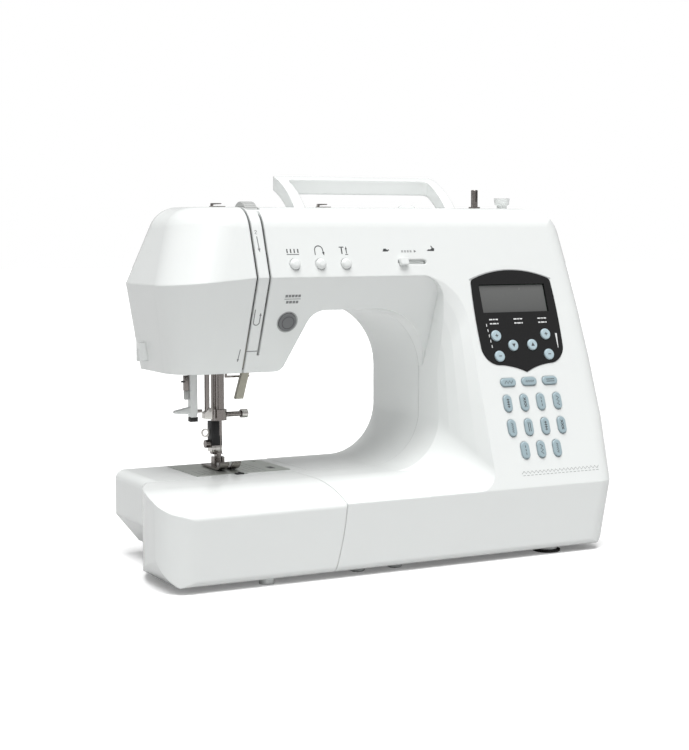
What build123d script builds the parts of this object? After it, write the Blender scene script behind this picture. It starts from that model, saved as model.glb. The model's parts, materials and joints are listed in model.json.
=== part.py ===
from build123d import *
from math import atan2, cos, degrees, radians, sin, sqrt, tan
import os

os.makedirs("parts", exist_ok=True)

# Overall sizes. Millimetres, +X to the handwheel end, +Y to the back, +Z up.
length = 422.0
depth = 176.0
body_top = 288.0
wheel_proud = 6.0
base_under = 5.0
wall = 2.6
seam = 0.3
run_fit = 0.05

left = -length / 2
front = -depth / 2
back = depth / 2
body_right = length / 2 - wheel_proud

# Bed, free arm and throat.
bed_front_z = 58.0
bed_top = 71.0
bed_roll = 60.0
free_arm_front = front + 97.0
free_arm_left = left + 25.0
free_arm_right = left + 165.0
free_arm_under = 10.0
box_right = left + 151.0
box_sweep = 11.0
arm_under = 205.0
throat_low_radius = 45.0
throat_high_radius = 56.0

# Arm, head and column.
arm_crease_z = 232.0
arm_setback = 60.0
head_setback = 30.0
head_under = 155.0
head_right = left + 137.0
arm_left = left + 157.0
top_front_radius = 24.0
top_back_radius = 18.0
top_right_radius = 42.0
column_width = 144.5
column_left = body_right - column_width
panel_left = column_left + 18.5
flare_low_radius = 17.0
flare_high_radius = 38.0
flare_power = 1.6
flare_steps = (0.0, 0.25, 0.5, 0.75, 1.0)
flare_sink = 0.35
wedge_round = 19.0
side_bulge_z = 110.0
low_right_radius = 32.0
side_tuck_low = 13.0
side_tuck_high = 12.0
front_corner = 20.0
back_corner = 12.0
panel_lean = atan2(arm_setback, arm_crease_z - bed_front_z)
under_lean = atan2(head_setback, arm_crease_z - head_under)

# Face cover at the left end of the head.
slot_left = left + 102.0
slot_right = left + 104.0
cover_low_left = left + 46.0
cover_mid_left = left + 32.5
cover_high_left = left + 54.5
cover_mid_drop = 6.0
cover_top_radius = 24.0

# Stitch-forming mechanism.
needle_x = left + 104.5
needle_y = front + 138.0
bar_radius = 3.1
presser_radius = 3.0
presser_y = needle_y + 12.0
clamp_z = 112.0
needle_tip_z = 79.0
needle_down = 24.0
needle_up = 6.0
shaft_y = front + 128.0
shaft_z = 236.0
shaft_radius = 5.0
hook_radius = 16.5
hook_gap = 1.0
hook_y = needle_y - hook_radius - hook_gap
lower_shaft_y = front + 132.0
lower_shaft_z = 28.0
lower_shaft_radius = 4.0
takeup_y = front + 118.0
takeup_z = 225.0
takeup_reach = 50.0
carrier_pivot_z = 264.0
carrier_pivot_x = needle_x - 9.0
lifter_y = front + 161.0
lifter_z = 176.0
lifter_x = left + 118.0
wheel_radius = 26.0
wheel_width = 9.0

# Needle plate in the free arm.
plate_left = left + 70.0
plate_right = left + 154.0
plate_front = front + 107.0
plate_back = front + 171.0
plate_thick = 1.6
plate_top = bed_top + 0.4

# Front panel.
shield_x = body_right - 77.0
key_travel = 1.0
key_gap = 0.25
button_travel = 1.2
board_depth = 6.0
board_thick = 1.6
shield_proud = 0.6
shield_thick = 2.2

panel = Plane(origin=(0, front, bed_front_z), x_dir=(1, 0, 0),
              z_dir=(0, -cos(panel_lean), sin(panel_lean)))
under_panel = Plane(origin=(0, front + arm_setback, arm_crease_z), x_dir=(1, 0, 0),
                    z_dir=(0, -cos(under_lean), -sin(under_lean)))


def panel_y(z):
    """Y of the leaning front panel at height z."""
    return front + (z - bed_front_z) * tan(panel_lean)


def side_x(z):
    """X of the bulging right side at height z."""
    tuck, span = (side_tuck_low, side_bulge_z - base_under)
    if z > side_bulge_z:
        tuck, span = (side_tuck_high, body_top - side_bulge_z)
    radius = (tuck ** 2 + span ** 2) / (2 * tuck)
    return body_right - radius + sqrt(radius ** 2 - (z - side_bulge_z) ** 2)


def round_corner(x, y, radius):
    """Round the sketch corner nearest to a point."""
    fillet(vertices().sort_by_distance((x, y))[0], radius)


def save(part, name):
    """Label a finished sub-part and write its STEP file."""
    part.label = name
    export_step(part, f"parts/{name}.step")


def bed_curve(inset):
    """The bed's top seen from the end: it rolls down from its level part to the front edge."""
    return TangentArc((front + bed_roll, bed_top - inset), (front, bed_front_z - inset), tangent=(-1, 0))


def front_wedge(inset):
    """Space in front of the arm and above the bed, grown by the inset."""
    with BuildPart() as wedge:
        with BuildSketch(Plane.YZ):
            with BuildLine():
                bed_curve(0)
                Polyline((front + bed_roll, bed_top), (free_arm_front, bed_top), (free_arm_front, head_under),
                         (front + arm_setback + head_setback, head_under),
                         (front + arm_setback, arm_crease_z), (front - 30, arm_crease_z),
                         (front - 30, bed_front_z), (front, bed_front_z))
            make_face()
            if inset:
                offset(amount=inset, kind=Kind.INTERSECTION)
        extrude(amount=length, both=True)
        with BuildSketch(Plane.XZ):
            with BuildLine():
                Polyline((column_left, arm_crease_z), (left - 20, arm_crease_z), (left - 20, 20),
                         (column_left - throat_low_radius, 20), (column_left - throat_low_radius, bed_top))
                TangentArc((column_left - throat_low_radius, bed_top),
                           (column_left, bed_top + throat_low_radius), tangent=(1, 0))
                Line((column_left, bed_top + throat_low_radius), (column_left, arm_crease_z))
            make_face()
            round_corner(column_left, arm_crease_z, wedge_round)
            if inset:
                offset(amount=inset, kind=Kind.INTERSECTION)
        extrude(amount=depth, both=True, mode=Mode.INTERSECT)
    return wedge.part


def flare_cutter(inset):
    """The throat widens like a trumpet towards the front panel."""
    under_y = front + arm_setback + (arm_crease_z - arm_under) * tan(under_lean)
    crease_s = sqrt(arm_setback ** 2 + (arm_crease_z - bed_front_z) ** 2)
    back_lean = atan2(under_y - front - bed_roll, arm_under - bed_top)
    back_s = (arm_under - bed_top) / cos(back_lean)
    back_start = Vector(0, front + bed_roll, bed_top)
    front_start = Vector(0, front, bed_front_z)
    with BuildPart() as cutter:
        for share in flare_steps:
            lean = back_lean + (panel_lean - back_lean) * share
            start = back_start + (front_start - back_start) * share
            top = back_s + (crease_s - back_s) * share
            right = column_left + (panel_left - column_left) * share ** flare_power
            plane = Plane(origin=start, x_dir=(1, 0, 0), z_dir=(0, -cos(lean), sin(lean)))
            with BuildSketch(plane.offset(0.2 * share - inset * (1 - share))):
                with BuildLine():
                    Polyline((left - 20, flare_sink), (right, flare_sink), (right, top), (left - 20, top), close=True)
                make_face()
                round_corner(right, flare_sink, throat_low_radius + (flare_low_radius - throat_low_radius) * share)
                round_corner(right, top, throat_high_radius + (flare_high_radius - throat_high_radius) * share)
                if inset:
                    offset(amount=inset, kind=Kind.INTERSECTION)
        loft(ruled=True)
        with BuildSketch(Plane.YZ):
            with BuildLine():
                bed_curve(0)
                Polyline((front + bed_roll, bed_top), (free_arm_front, bed_top), (free_arm_front, body_top),
                         (front - 30, body_top), (front - 30, bed_front_z), (front, bed_front_z))
            make_face()
            if inset:
                offset(amount=inset, kind=Kind.INTERSECTION)
        extrude(amount=length, both=True, mode=Mode.INTERSECT)
    return cutter.part


def corner_cutter(radius, at_front, inset):
    """What lies outside a rounded upright corner at the right end."""
    levels = (0, bed_front_z, side_bulge_z, 160, 200, 235, 265, body_top + 2)
    with BuildPart() as cutter:
        for z in levels:
            x = side_x(min(z, body_top)) - inset
            y = back - inset
            way = -1
            if at_front:
                y = panel_y(max(z, bed_front_z)) + inset
                way = 1
            with BuildSketch(Plane.XY.offset(z)):
                with BuildLine():
                    Line((x - radius, y - 40 * way), (x - radius, y))
                    RadiusArc((x - radius, y), (x, y + radius * way), -radius * way)
                    Polyline((x, y + radius * way), (x + 40, y + radius * way),
                             (x + 40, y - 40 * way), (x - radius, y - 40 * way))
                make_face()
        loft(ruled=True)
    return cutter.part


def seam_arc(x):
    """Slanting seam between the accessory box and the base, carried on below the base."""
    return ThreePointArc((x, bed_top), (x - box_sweep / 4, 40), (x - box_sweep * 1.13, base_under - 3))


def body_form(inset, reach):
    """Arm, column, right part of the head and of the base, shrunk by the inset."""
    wedge = front_wedge(inset)
    flare = flare_cutter(inset)
    front_round = corner_cutter(front_corner - inset, True, inset)
    back_round = corner_cutter(back_corner - inset, False, inset)
    top_front = panel_y(body_top)
    start = slot_right - reach
    with BuildPart() as form:
        with BuildSketch(Plane.YZ):
            with BuildLine():
                Polyline((front, base_under), (front, bed_front_z), (top_front, body_top),
                         (back, body_top), (back, base_under), close=True)
            make_face()
            round_corner(top_front, body_top, top_front_radius)
            round_corner(back, body_top, top_back_radius)
            round_corner(back, base_under, 5)
            round_corner(front, base_under, 5)
            if inset:
                offset(amount=-inset, kind=Kind.INTERSECTION)
        extrude(amount=length, both=True)
        with BuildSketch(Plane.XZ):
            with BuildLine():
                Polyline((body_right - side_tuck_high, body_top), (start, body_top), (start, 113),
                         (box_right + seam, 113), (box_right + seam, bed_top))
                low_left = seam_arc(box_right + seam) @ 1
                low_right = (body_right - side_tuck_low, low_left.Y)
                Line(low_left, low_right)
                TangentArc((body_right, side_bulge_z), low_right, tangent=(0, -1))
                TangentArc((body_right, side_bulge_z), (body_right - side_tuck_high, body_top),
                           tangent=(0, 1))
            make_face()
            round_corner(body_right - side_tuck_high, body_top, top_right_radius)
            round_corner(body_right - side_tuck_low, base_under - 3, low_right_radius)
            if inset:
                offset(amount=-inset, kind=Kind.INTERSECTION)
        extrude(amount=depth, both=True, mode=Mode.INTERSECT)
        with BuildSketch(Plane.XZ):
            with BuildLine():
                Polyline((left - 20, bed_top), (column_left, bed_top), (column_left, arm_under),
                         (arm_left, arm_under), (head_right, head_under), (left - 20, head_under), close=True)
            make_face()
            round_corner(column_left, bed_top, throat_low_radius)
            round_corner(column_left, arm_under, throat_high_radius)
            round_corner(arm_left, arm_under, 16)
            round_corner(head_right, head_under, 8)
            if inset:
                offset(amount=inset, kind=Kind.INTERSECTION)
        extrude(amount=depth, both=True, mode=Mode.SUBTRACT)
        add(wedge, mode=Mode.SUBTRACT)
        add(flare, mode=Mode.SUBTRACT)
        add(front_round, mode=Mode.SUBTRACT)
        add(back_round, mode=Mode.SUBTRACT)
    return form.part


def block(x, y, z, mode=Mode.ADD):
    """A block between three pairs of limits in the open part."""
    with Locations(((x[0] + x[1]) / 2, (y[0] + y[1]) / 2, (z[0] + z[1]) / 2)):
        Box(abs(x[1] - x[0]), abs(y[1] - y[0]), abs(z[1] - z[0]), mode=mode)


def rod(start, end, radius, mode=Mode.ADD):
    """A round bar between two points of the open part."""
    way = Vector(*end) - Vector(*start)
    with Locations(Plane(origin=start, z_dir=way)):
        Cylinder(radius, way.length, align=(Align.CENTER, Align.CENTER, Align.MIN), mode=mode)


outer_form = body_form(0, 0)
inner_form = body_form(wall, 12)

# Space taken up by the thread dial, the handle pockets and the openings in the walls.
dial_x = (left + 106.0, left + 117.0)
dial_y = front + 101.0
dial_z = body_top - 9.0
dial_radius = 13.5
handle_left = left + 162.0
handle_right = left + 318.0
handle_bar = 10.0
handle_pivot_y = front + 108.0
handle_pivot_z = body_top - 9.0
handle_pin_radius = 3.0
pocket_gap = 0.8
pocket_back = front + 160.0
pocket_floor = body_top - 24.0
spindle_x = left + 345.0
spindle_y = front + 125.0
spindle_radius = 3.0
stop_x = left + 372.0
stop_y = front + 122.0
spool_x = left + 287.0
spool_y = front + 145.0
inlet_y = (front + 114.0, front + 158.0)
inlet_z = (32.0, 84.0)
inlet_back = body_right - 12.0
strip_right = left + 113.0
channel_width = 2.0
channel_end = 63.5

slider_x = (left + 232.0, left + 259.0)
slider_s = 196.0
slider_slot = 4.0
slider_knob = 8.0
button_radius = 4.4
button_s = 195.0
button_x = {"slow_button": left + 137.1, "reverse_button": left + 160.2, "needle_position_button": left + 183.2}
start_x = left + 135.2
start_s = 38.6
start_radius = 7.8
round_key_radius = 4.75
shield_low = 98.2
shield_high = 187.5
window_width = 66.5
window_s = (150.4, 175.0)

# Key centres: offset from the shield's centre line, and distance up the panel.
round_keys = [(-25.0, 130.1), (-25.0, 112.3), (-9.6, 121.2), (9.6, 121.2), (25.0, 130.1), (25.0, 112.3)]
wide_keys = [(offset_x, 89.7) for offset_x in (-21.0, 0.0, 21.0)]
tall_keys = [(offset_x, s) for s in (71.8, 50.8) for offset_x in (-25.0, -8.3, 8.3, 25.0)]
tall_keys += [(offset_x, 31.4) for offset_x in (-16.0, 0.0, 16.0)]
wide_key_size = (15.0, 7.0)
tall_key_size = (8.0, 14.5)
screw_spots = [(left + 185.0, 19.0), (left + 330.0, 19.0), (left + 330.0, 120.0), (left + 330.0, 225.0),
               (left + 200.0, 225.0), (left + 128.0, 225.0)]
screw_radius = 1.5
screw_head_radius = 3.8
screw_head = 1.4


def shield_outline(grow):
    """Shield on the front panel: an arched top and a bottom drawn to a point."""
    half = 41.5
    with BuildSketch() as outline:
        with BuildLine():
            ThreePointArc((shield_x - half + 1.5, 179.3), (shield_x, shield_high),
                          (shield_x + half - 1.5, 179.3))
            for side in (1, -1):
                ThreePointArc((shield_x + side * (half - 1.5), 179.3), (shield_x + side * half, 150),
                              (shield_x + side * (half - 0.5), 119))
                ThreePointArc((shield_x + side * (half - 0.5), 119), (shield_x + side * (half - 6), 109),
                              (shield_x + side * (half - 14), 105.3))
                ThreePointArc((shield_x + side * (half - 14), 105.3), (shield_x + side * 14, 103.4),
                              (shield_x, shield_low))
        make_face()
        for side in (1, -1):
            round_corner(shield_x + side * (half - 1.5), 179.3, 5)
        if grow:
            offset(amount=grow)
    return outline.sketch


def key_outlines(grow):
    """Oblong outlines of the stitch keys on the panel."""
    with BuildSketch() as outlines:
        with Locations([(shield_x + dx, s) for dx, s in wide_keys]):
            SlotOverall(wide_key_size[0] + 2 * grow, wide_key_size[1] + 2 * grow)
        with Locations([(shield_x + dx, s) for dx, s in tall_keys]):
            SlotOverall(tall_key_size[1] + 2 * grow, tall_key_size[0] + 2 * grow, rotation=90)
    return outlines.sketch


# Front half of the body: panel, arm front and the base front.
with BuildPart() as front_housing:
    add(outer_form)
    add(inner_form, mode=Mode.SUBTRACT)

    block((left - 20, left + length), (free_arm_front, back + 20), (-10, body_top + 10), Mode.SUBTRACT)
    # Opening under the head for the needle and presser bars.
    block((slot_right - 1, left + 131), (front + 98, free_arm_front + 20), (head_under - 5, head_under + 8),
          Mode.SUBTRACT)
    # Opening for the base tray.
    block((box_right + 3, body_right - 20), (front + 6, free_arm_front + 1), (base_under - 1, base_under + wall + 0.1),
          Mode.SUBTRACT)
    # Bosses that carry the control board.
    with BuildSketch(panel.offset(-wall)):
        with Locations([(shield_x + dx, s) for dx in (-39, 39) for s in (24, 96)]):
            Circle(3)
    extrude(amount=-(board_depth - wall))
    # Seat for the shield, openings for the keys and the display.
    with BuildSketch(panel.offset(-shield_thick + shield_proud)):
        add(shield_outline(0.2))
    extrude(amount=10, mode=Mode.SUBTRACT)
    with BuildSketch(panel.offset(-10)):
        with Locations((shield_x, (window_s[0] + window_s[1]) / 2)):
            Rectangle(window_width + 4, window_s[1] - window_s[0] + 4)
        with Locations([(shield_x + dx, s) for dx, s in round_keys]):
            Circle(round_key_radius + key_gap + 0.6)
        add(key_outlines(key_gap))
    extrude(amount=20, mode=Mode.SUBTRACT)
    # Push buttons and the speed slider on the arm.
    with BuildSketch(panel.offset(-10)):
        with Locations([(x, button_s) for x in button_x.values()]):
            Circle(button_radius + key_gap)
        with Locations(((slider_x[0] + slider_x[1]) / 2, slider_s)):
            SlotOverall(slider_x[1] - slider_x[0], slider_slot)
    extrude(amount=20, mode=Mode.SUBTRACT)
    with BuildSketch(under_panel.offset(-10)):
        with Locations((start_x, -start_s)):
            Circle(start_radius + key_gap)
    extrude(amount=20, mode=Mode.SUBTRACT)
    # Thread channel to the right of the strip: down the arm and under the crease.
    with BuildSketch(panel.offset(-6)):
        with Locations((strip_right + channel_width / 2, 210)):
            Rectangle(channel_width, 64)
    extrude(amount=12, mode=Mode.SUBTRACT)
    with BuildSketch(under_panel.offset(-6)):
        with Locations((strip_right + channel_width / 2, -channel_end / 2)):
            Rectangle(channel_width, channel_end + 8)
    extrude(amount=12, mode=Mode.SUBTRACT)
    block((dial_x[0] - 0.6, dial_x[1] + 0.6), (dial_y - dial_radius - 0.7, dial_y + dial_radius + 0.7),
          (dial_z - dial_radius - 1, body_top + 5), Mode.SUBTRACT)
save(front_housing.part, "front_housing")

# Rear half of the body: back wall, top and the rear of the base.
with BuildPart() as rear_housing:
    add(outer_form)
    add(inner_form, mode=Mode.SUBTRACT)
    block((left - 20, left + length), (front - 20, free_arm_front), (-10, body_top + 10), Mode.SUBTRACT)
    # The free arm takes the left end of the base.
    block((left - 20, free_arm_right + seam), (free_arm_front - 1, back + 1), (-10, bed_top + 1), Mode.SUBTRACT)
    # Inside of the base is open towards the free arm.
    block((free_arm_right - 1, free_arm_right + wall + 2), (free_arm_front + wall, back - wall),
          (base_under + wall, bed_top - wall), Mode.SUBTRACT)
    block((slot_right - 1, left + 131), (free_arm_front - 1, back - 8), (head_under - 5, head_under + 8),
          Mode.SUBTRACT)
    # Slot behind the head for the presser lifter.
    block((lifter_x - 2, lifter_x + 8), (back - 10, back + 2), (head_under - 5, lifter_z + 14), Mode.SUBTRACT)
    block((free_arm_right + 5, body_right - 20), (free_arm_front - 1, back - 6),
          (base_under - 1, base_under + wall + 0.1), Mode.SUBTRACT)
    # Recessed tub for the mains inlet.
    with BuildSketch(Plane.YZ.offset(inlet_back - 2)):
        with Locations(((inlet_y[0] + inlet_y[1]) / 2, (inlet_z[0] + inlet_z[1]) / 2)):
            Rectangle(inlet_y[1] - inlet_y[0] + 4, inlet_z[1] - inlet_z[0] + 4)
    extrude(amount=side_x(inlet_z[0]) - inlet_back + 0.5)
    block((inlet_back, body_right + 5), inlet_y, inlet_z, Mode.SUBTRACT)
    # Pockets for the handle's arms.
    for arm in (handle_left, handle_right - handle_bar):
        block((arm - pocket_gap - 2, arm + handle_bar + pocket_gap + 2), (free_arm_front + 1.6, pocket_back + 2),
              (pocket_floor - 2, body_top - wall))
        block((arm - pocket_gap, arm + handle_bar + pocket_gap), (free_arm_front + 3.4, pocket_back),
              (pocket_floor, body_top + 5), Mode.SUBTRACT)
        rod((arm - pocket_gap - 3, handle_pivot_y, handle_pivot_z),
            (arm + handle_bar + pocket_gap + 3, handle_pivot_y, handle_pivot_z),
            handle_pin_radius + run_fit, Mode.SUBTRACT)
    # Rib that carries the thread dial, and the dial's slot.
    block((dial_x[1] + 2, dial_x[1] + 5), (free_arm_front, dial_y + 8), (dial_z - 9, body_top - wall))
    block((dial_x[0] - 0.6, dial_x[1] + 0.6), (dial_y - dial_radius - 0.7, dial_y + dial_radius + 0.7),
          (dial_z - dial_radius - 1, body_top + 5), Mode.SUBTRACT)
    rod((dial_x[1], dial_y, dial_z), (dial_x[1] + 6, dial_y, dial_z), 2.0 + run_fit, Mode.SUBTRACT)
    # Bearing boss of the winder spindle, and its hole.
    rod((spindle_x, spindle_y, body_top - 12), (spindle_x, spindle_y, body_top - 1), 6.5)
    rod((spindle_x, spindle_y, body_top - 14), (spindle_x, spindle_y, body_top + 2),
        spindle_radius + run_fit, Mode.SUBTRACT)
    # Holes for the winder stop, the spool pin, the handwheel hub and the screws.
    rod((stop_x, stop_y, body_top - 8), (stop_x, stop_y, body_top + 2), 3.0, Mode.SUBTRACT)
    rod((side_x(shaft_z) - 12, shaft_y, shaft_z), (body_right + 5, shaft_y, shaft_z), 8.4, Mode.SUBTRACT)
    for x, z in screw_spots:
        rod((x, back - 12, z), (x, back + 2, z), screw_radius + 0.2, Mode.SUBTRACT)
        rod((x, back - screw_head - 0.2, z), (x, back + 2, z), screw_head_radius + 0.3, Mode.SUBTRACT)
save(rear_housing.part, "rear_housing")


def cover_form(inset, right, low):
    """Left end of the head: widest at the crease, tapered above and below it."""
    tilt = atan2(cover_mid_drop, slot_left - cover_mid_left)
    crease = Plane(origin=(slot_left, 0, arm_crease_z), x_dir=(cos(tilt), 0, sin(tilt)),
                   z_dir=(-sin(tilt), 0, cos(tilt)))
    sections = [
        (Plane.XY.offset(low), cover_low_left, front + arm_setback + head_setback, 1.0, 0.0, 26, 10),
        (crease, cover_mid_left, front + arm_setback, cos(tilt), slot_left, 42, 14),
        (Plane.XY.offset(body_top - inset), cover_high_left, panel_y(body_top), 1.0, 0.0, 44, 34),
    ]
    with BuildPart() as form:
        for plane, x, y, squeeze, datum, front_round, back_round in sections:
            x_low = (x + inset - datum) / squeeze
            x_high = (right - datum) / squeeze
            y_low = y + inset
            y_high = back - inset
            r_front = front_round - inset
            r_back = back_round - inset
            with BuildSketch(plane):
                with BuildLine():
                    Line((x_high, y_low), (x_low + r_front, y_low))
                    RadiusArc((x_low + r_front, y_low), (x_low, y_low + r_front), r_front)
                    Line((x_low, y_low + r_front), (x_low, y_high - r_back))
                    RadiusArc((x_low, y_high - r_back), (x_low + r_back, y_high), r_back)
                    Polyline((x_low + r_back, y_high), (x_high, y_high), (x_high, y_low))
                make_face()
        loft(ruled=True)
        top = faces().sort_by(Axis.Z)[-1]
        rim = [edge for edge in top.edges() if edge.center().X < right - 1]
        fillet(rim, cover_top_radius - inset)
    return form.part


cover_outer = cover_form(0, slot_right - 0.4, head_under)
cover_inner = cover_form(wall, slot_right + 8, head_under - 1)

with BuildPart() as face_cover:
    add(cover_outer)
    add(cover_inner, mode=Mode.SUBTRACT)
    # The take-up slot is open at the front; behind it the cover meets the body.
    block((slot_left, slot_right + 1), (front, free_arm_front + 10), (head_under - 5, body_top + 5), Mode.SUBTRACT)
    # Thread cutter on the left side.
    block((cover_low_left - 9.5, cover_low_left - 1.0), (front + 146, front + 153), (163, 178))
    block((cover_low_left - 11, cover_low_left - 6), (front + 149, front + 150.2), (160, 173), Mode.SUBTRACT)
    block((cover_low_left + 0.5, cover_low_left + 5), (front + 140, front + 160), (160, 180))
    add(cover_inner.solids()[0], mode=Mode.SUBTRACT)
save(face_cover.part, "face_cover")

# Free arm: a hollow beam with a bevelled lower end and a recess for the needle plate.
with BuildPart() as free_arm_shell:
    for inset in (0, wall):
        end = 10 if inset else 0
        with BuildSketch(Plane.XZ.offset(-(free_arm_front + inset))):
            with BuildLine():
                Polyline((free_arm_left + inset, bed_top - inset), (free_arm_left + inset, 34),
                         (free_arm_left + 20 + inset * 0.4, free_arm_under + inset),
                         (free_arm_right + end, free_arm_under + inset),
                         (free_arm_right + end, bed_top - inset), close=True)
            make_face()
            round_corner(free_arm_left + inset, bed_top - inset, 8 - inset)
            round_corner(free_arm_left + inset, 34, 3)
        extrude(amount=-(back - free_arm_front - 2 * inset), mode=Mode.SUBTRACT if inset else Mode.ADD)
    block((plate_left - 0.2, plate_right + 0.2), (plate_front - 0.2, plate_back + 0.2),
          (plate_top - plate_thick, bed_top + 5), Mode.SUBTRACT)
    # Window under the needle plate for the hook and the feed dog.
    block((plate_left + 12, plate_right - 12), (plate_front + 3, plate_back - 3), (bed_top - wall - 1, bed_top + 5),
          Mode.SUBTRACT)
    # Seat of the bobbin latch.
    block((needle_x - 2, needle_x + 9), (plate_front - 5.4, plate_front + 0.5), (plate_top - plate_thick, bed_top + 5),
          Mode.SUBTRACT)
    # Edge that runs along the top of the back and front faces.
    rim = [edge for edge in edges().filter_by(Axis.X) if edge.center().Z > bed_top - 0.1
           and edge.center().Y > back - 0.1]
    fillet(rim, 2.0)
save(free_arm_shell.part, "free_arm_shell")

# Accessory box that makes the free arm into a flat bed; it slides off to the left.
box_front_radius = 24.0
box_foot_radius = 6.0


def box_form(inset):
    """Bed extension: curved top, slanting left end and rounded lower left edge."""
    back_face = free_arm_front - seam - inset
    with BuildPart() as form:
        with BuildSketch(Plane.YZ):
            with BuildLine():
                bed_curve(inset)
                Polyline((front, bed_front_z - inset), (front, base_under + inset), (back_face, base_under + inset),
                         (back_face, bed_top - inset), (front + bed_roll, bed_top - inset))
            make_face()
            round_corner(front, bed_front_z - inset, 4.5)
            round_corner(front, base_under + inset, 5)
        extrude(amount=length, both=True)
        with BuildSketch(Plane.XY):
            with BuildLine():
                corner = (left + box_front_radius, front + inset)
                side = (left + inset, front + box_front_radius)
                Line((box_right + 20, front + inset), corner)
                RadiusArc(corner, side, box_front_radius - inset)
                TangentArc(side, (left + 22 + inset, back_face), tangent=(0, 1))
                Polyline((left + 22 + inset, back_face), (box_right + 20, back_face), (box_right + 20, front + inset))
            make_face()
        extrude(amount=body_top, mode=Mode.INTERSECT)
        with BuildSketch(Plane.XZ):
            with BuildLine():
                low_right = seam_arc(box_right - inset) @ 1
                Polyline((box_right - inset, bed_top), (box_right - inset, bed_top + 5), (left + inset, bed_top + 5),
                         (left + inset, low_right.Y), low_right)
            make_face()
            round_corner(left + inset, low_right.Y, 23 - inset)
        extrude(amount=depth, both=True, mode=Mode.INTERSECT)
    return form.part


box_outer = box_form(0)
box_inner = box_form(wall)
with BuildPart() as accessory_box:
    add(box_outer)
    add(box_inner, mode=Mode.SUBTRACT)
    # Open to the back, where the accessories are reached once the box is off.
    block((left + 40, box_right - 20), (free_arm_front - 6, free_arm_front + 1), (base_under + wall + 4, bed_top - 12),
          Mode.SUBTRACT)
    rod((left + 86.9, front + 13, 0), (left + 86.9, front + 13, base_under + 1), box_foot_radius)
save(accessory_box.part, "accessory_box")

# Tray that closes the base from below.
with BuildPart() as base_tray:
    block((box_right + 3 + seam, body_right - 20 - seam), (front + 6 + seam, free_arm_front),
          (base_under, base_under + wall))
    block((free_arm_right + 5 + seam, body_right - 20 - seam), (free_arm_front - 1, back - 6 - seam),
          (base_under, base_under + wall))
save(base_tray.part, "base_tray")

# Needle plate: needle slot, feed slots and a finger slot.
feed_rows = (-7.0, -4.0, 4.0, 7.0)
feed_length = 22.0
feed_travel = 2.0
feed_rib = 1.2
with BuildPart() as needle_plate:
    block((plate_left, plate_right), (plate_front, plate_back), (plate_top - plate_thick, plate_top))
    fillet(edges().filter_by(Axis.Z), 1.5)
    with BuildSketch(Plane.XY.offset(plate_top)):
        with Locations((needle_x, needle_y)):
            SlotOverall(9.0, 2.4)
        with Locations([(needle_x + dx, needle_y) for dx in feed_rows]):
            SlotOverall(feed_length + 2 * feed_travel + 3, feed_rib + 1.0, rotation=90)
        with Locations((plate_right - 12, plate_front + 16)):
            SlotOverall(9.0, 3.0, rotation=90)
        with Locations([(plate_left + 8, plate_front + 8), (plate_right - 8, plate_back - 8)]):
            Circle(2.2)
    extrude(amount=-plate_thick, mode=Mode.SUBTRACT)
    # Shallow seam lines that guide the fabric.
    with BuildSketch(Plane.XY.offset(plate_top)):
        with Locations([(needle_x + dx, plate_front + 42) for dx in (16, 22, 28)]):
            Rectangle(0.5, 34)
    extrude(amount=-0.3, mode=Mode.SUBTRACT)
save(needle_plate.part, "needle_plate")

with BuildPart() as bobbin_latch:
    block((needle_x - 1.4, needle_x + 5.0), (plate_front - 5.0, plate_front - 0.5),
          (plate_top - plate_thick + 0.2, plate_top + 0.6))
    block((needle_x + 1.0, needle_x + 2.4), (plate_front - 4.4, plate_front - 1.2), (plate_top + 0.5, plate_top + 1.3))
save(bobbin_latch.part, "bobbin_latch")

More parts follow.
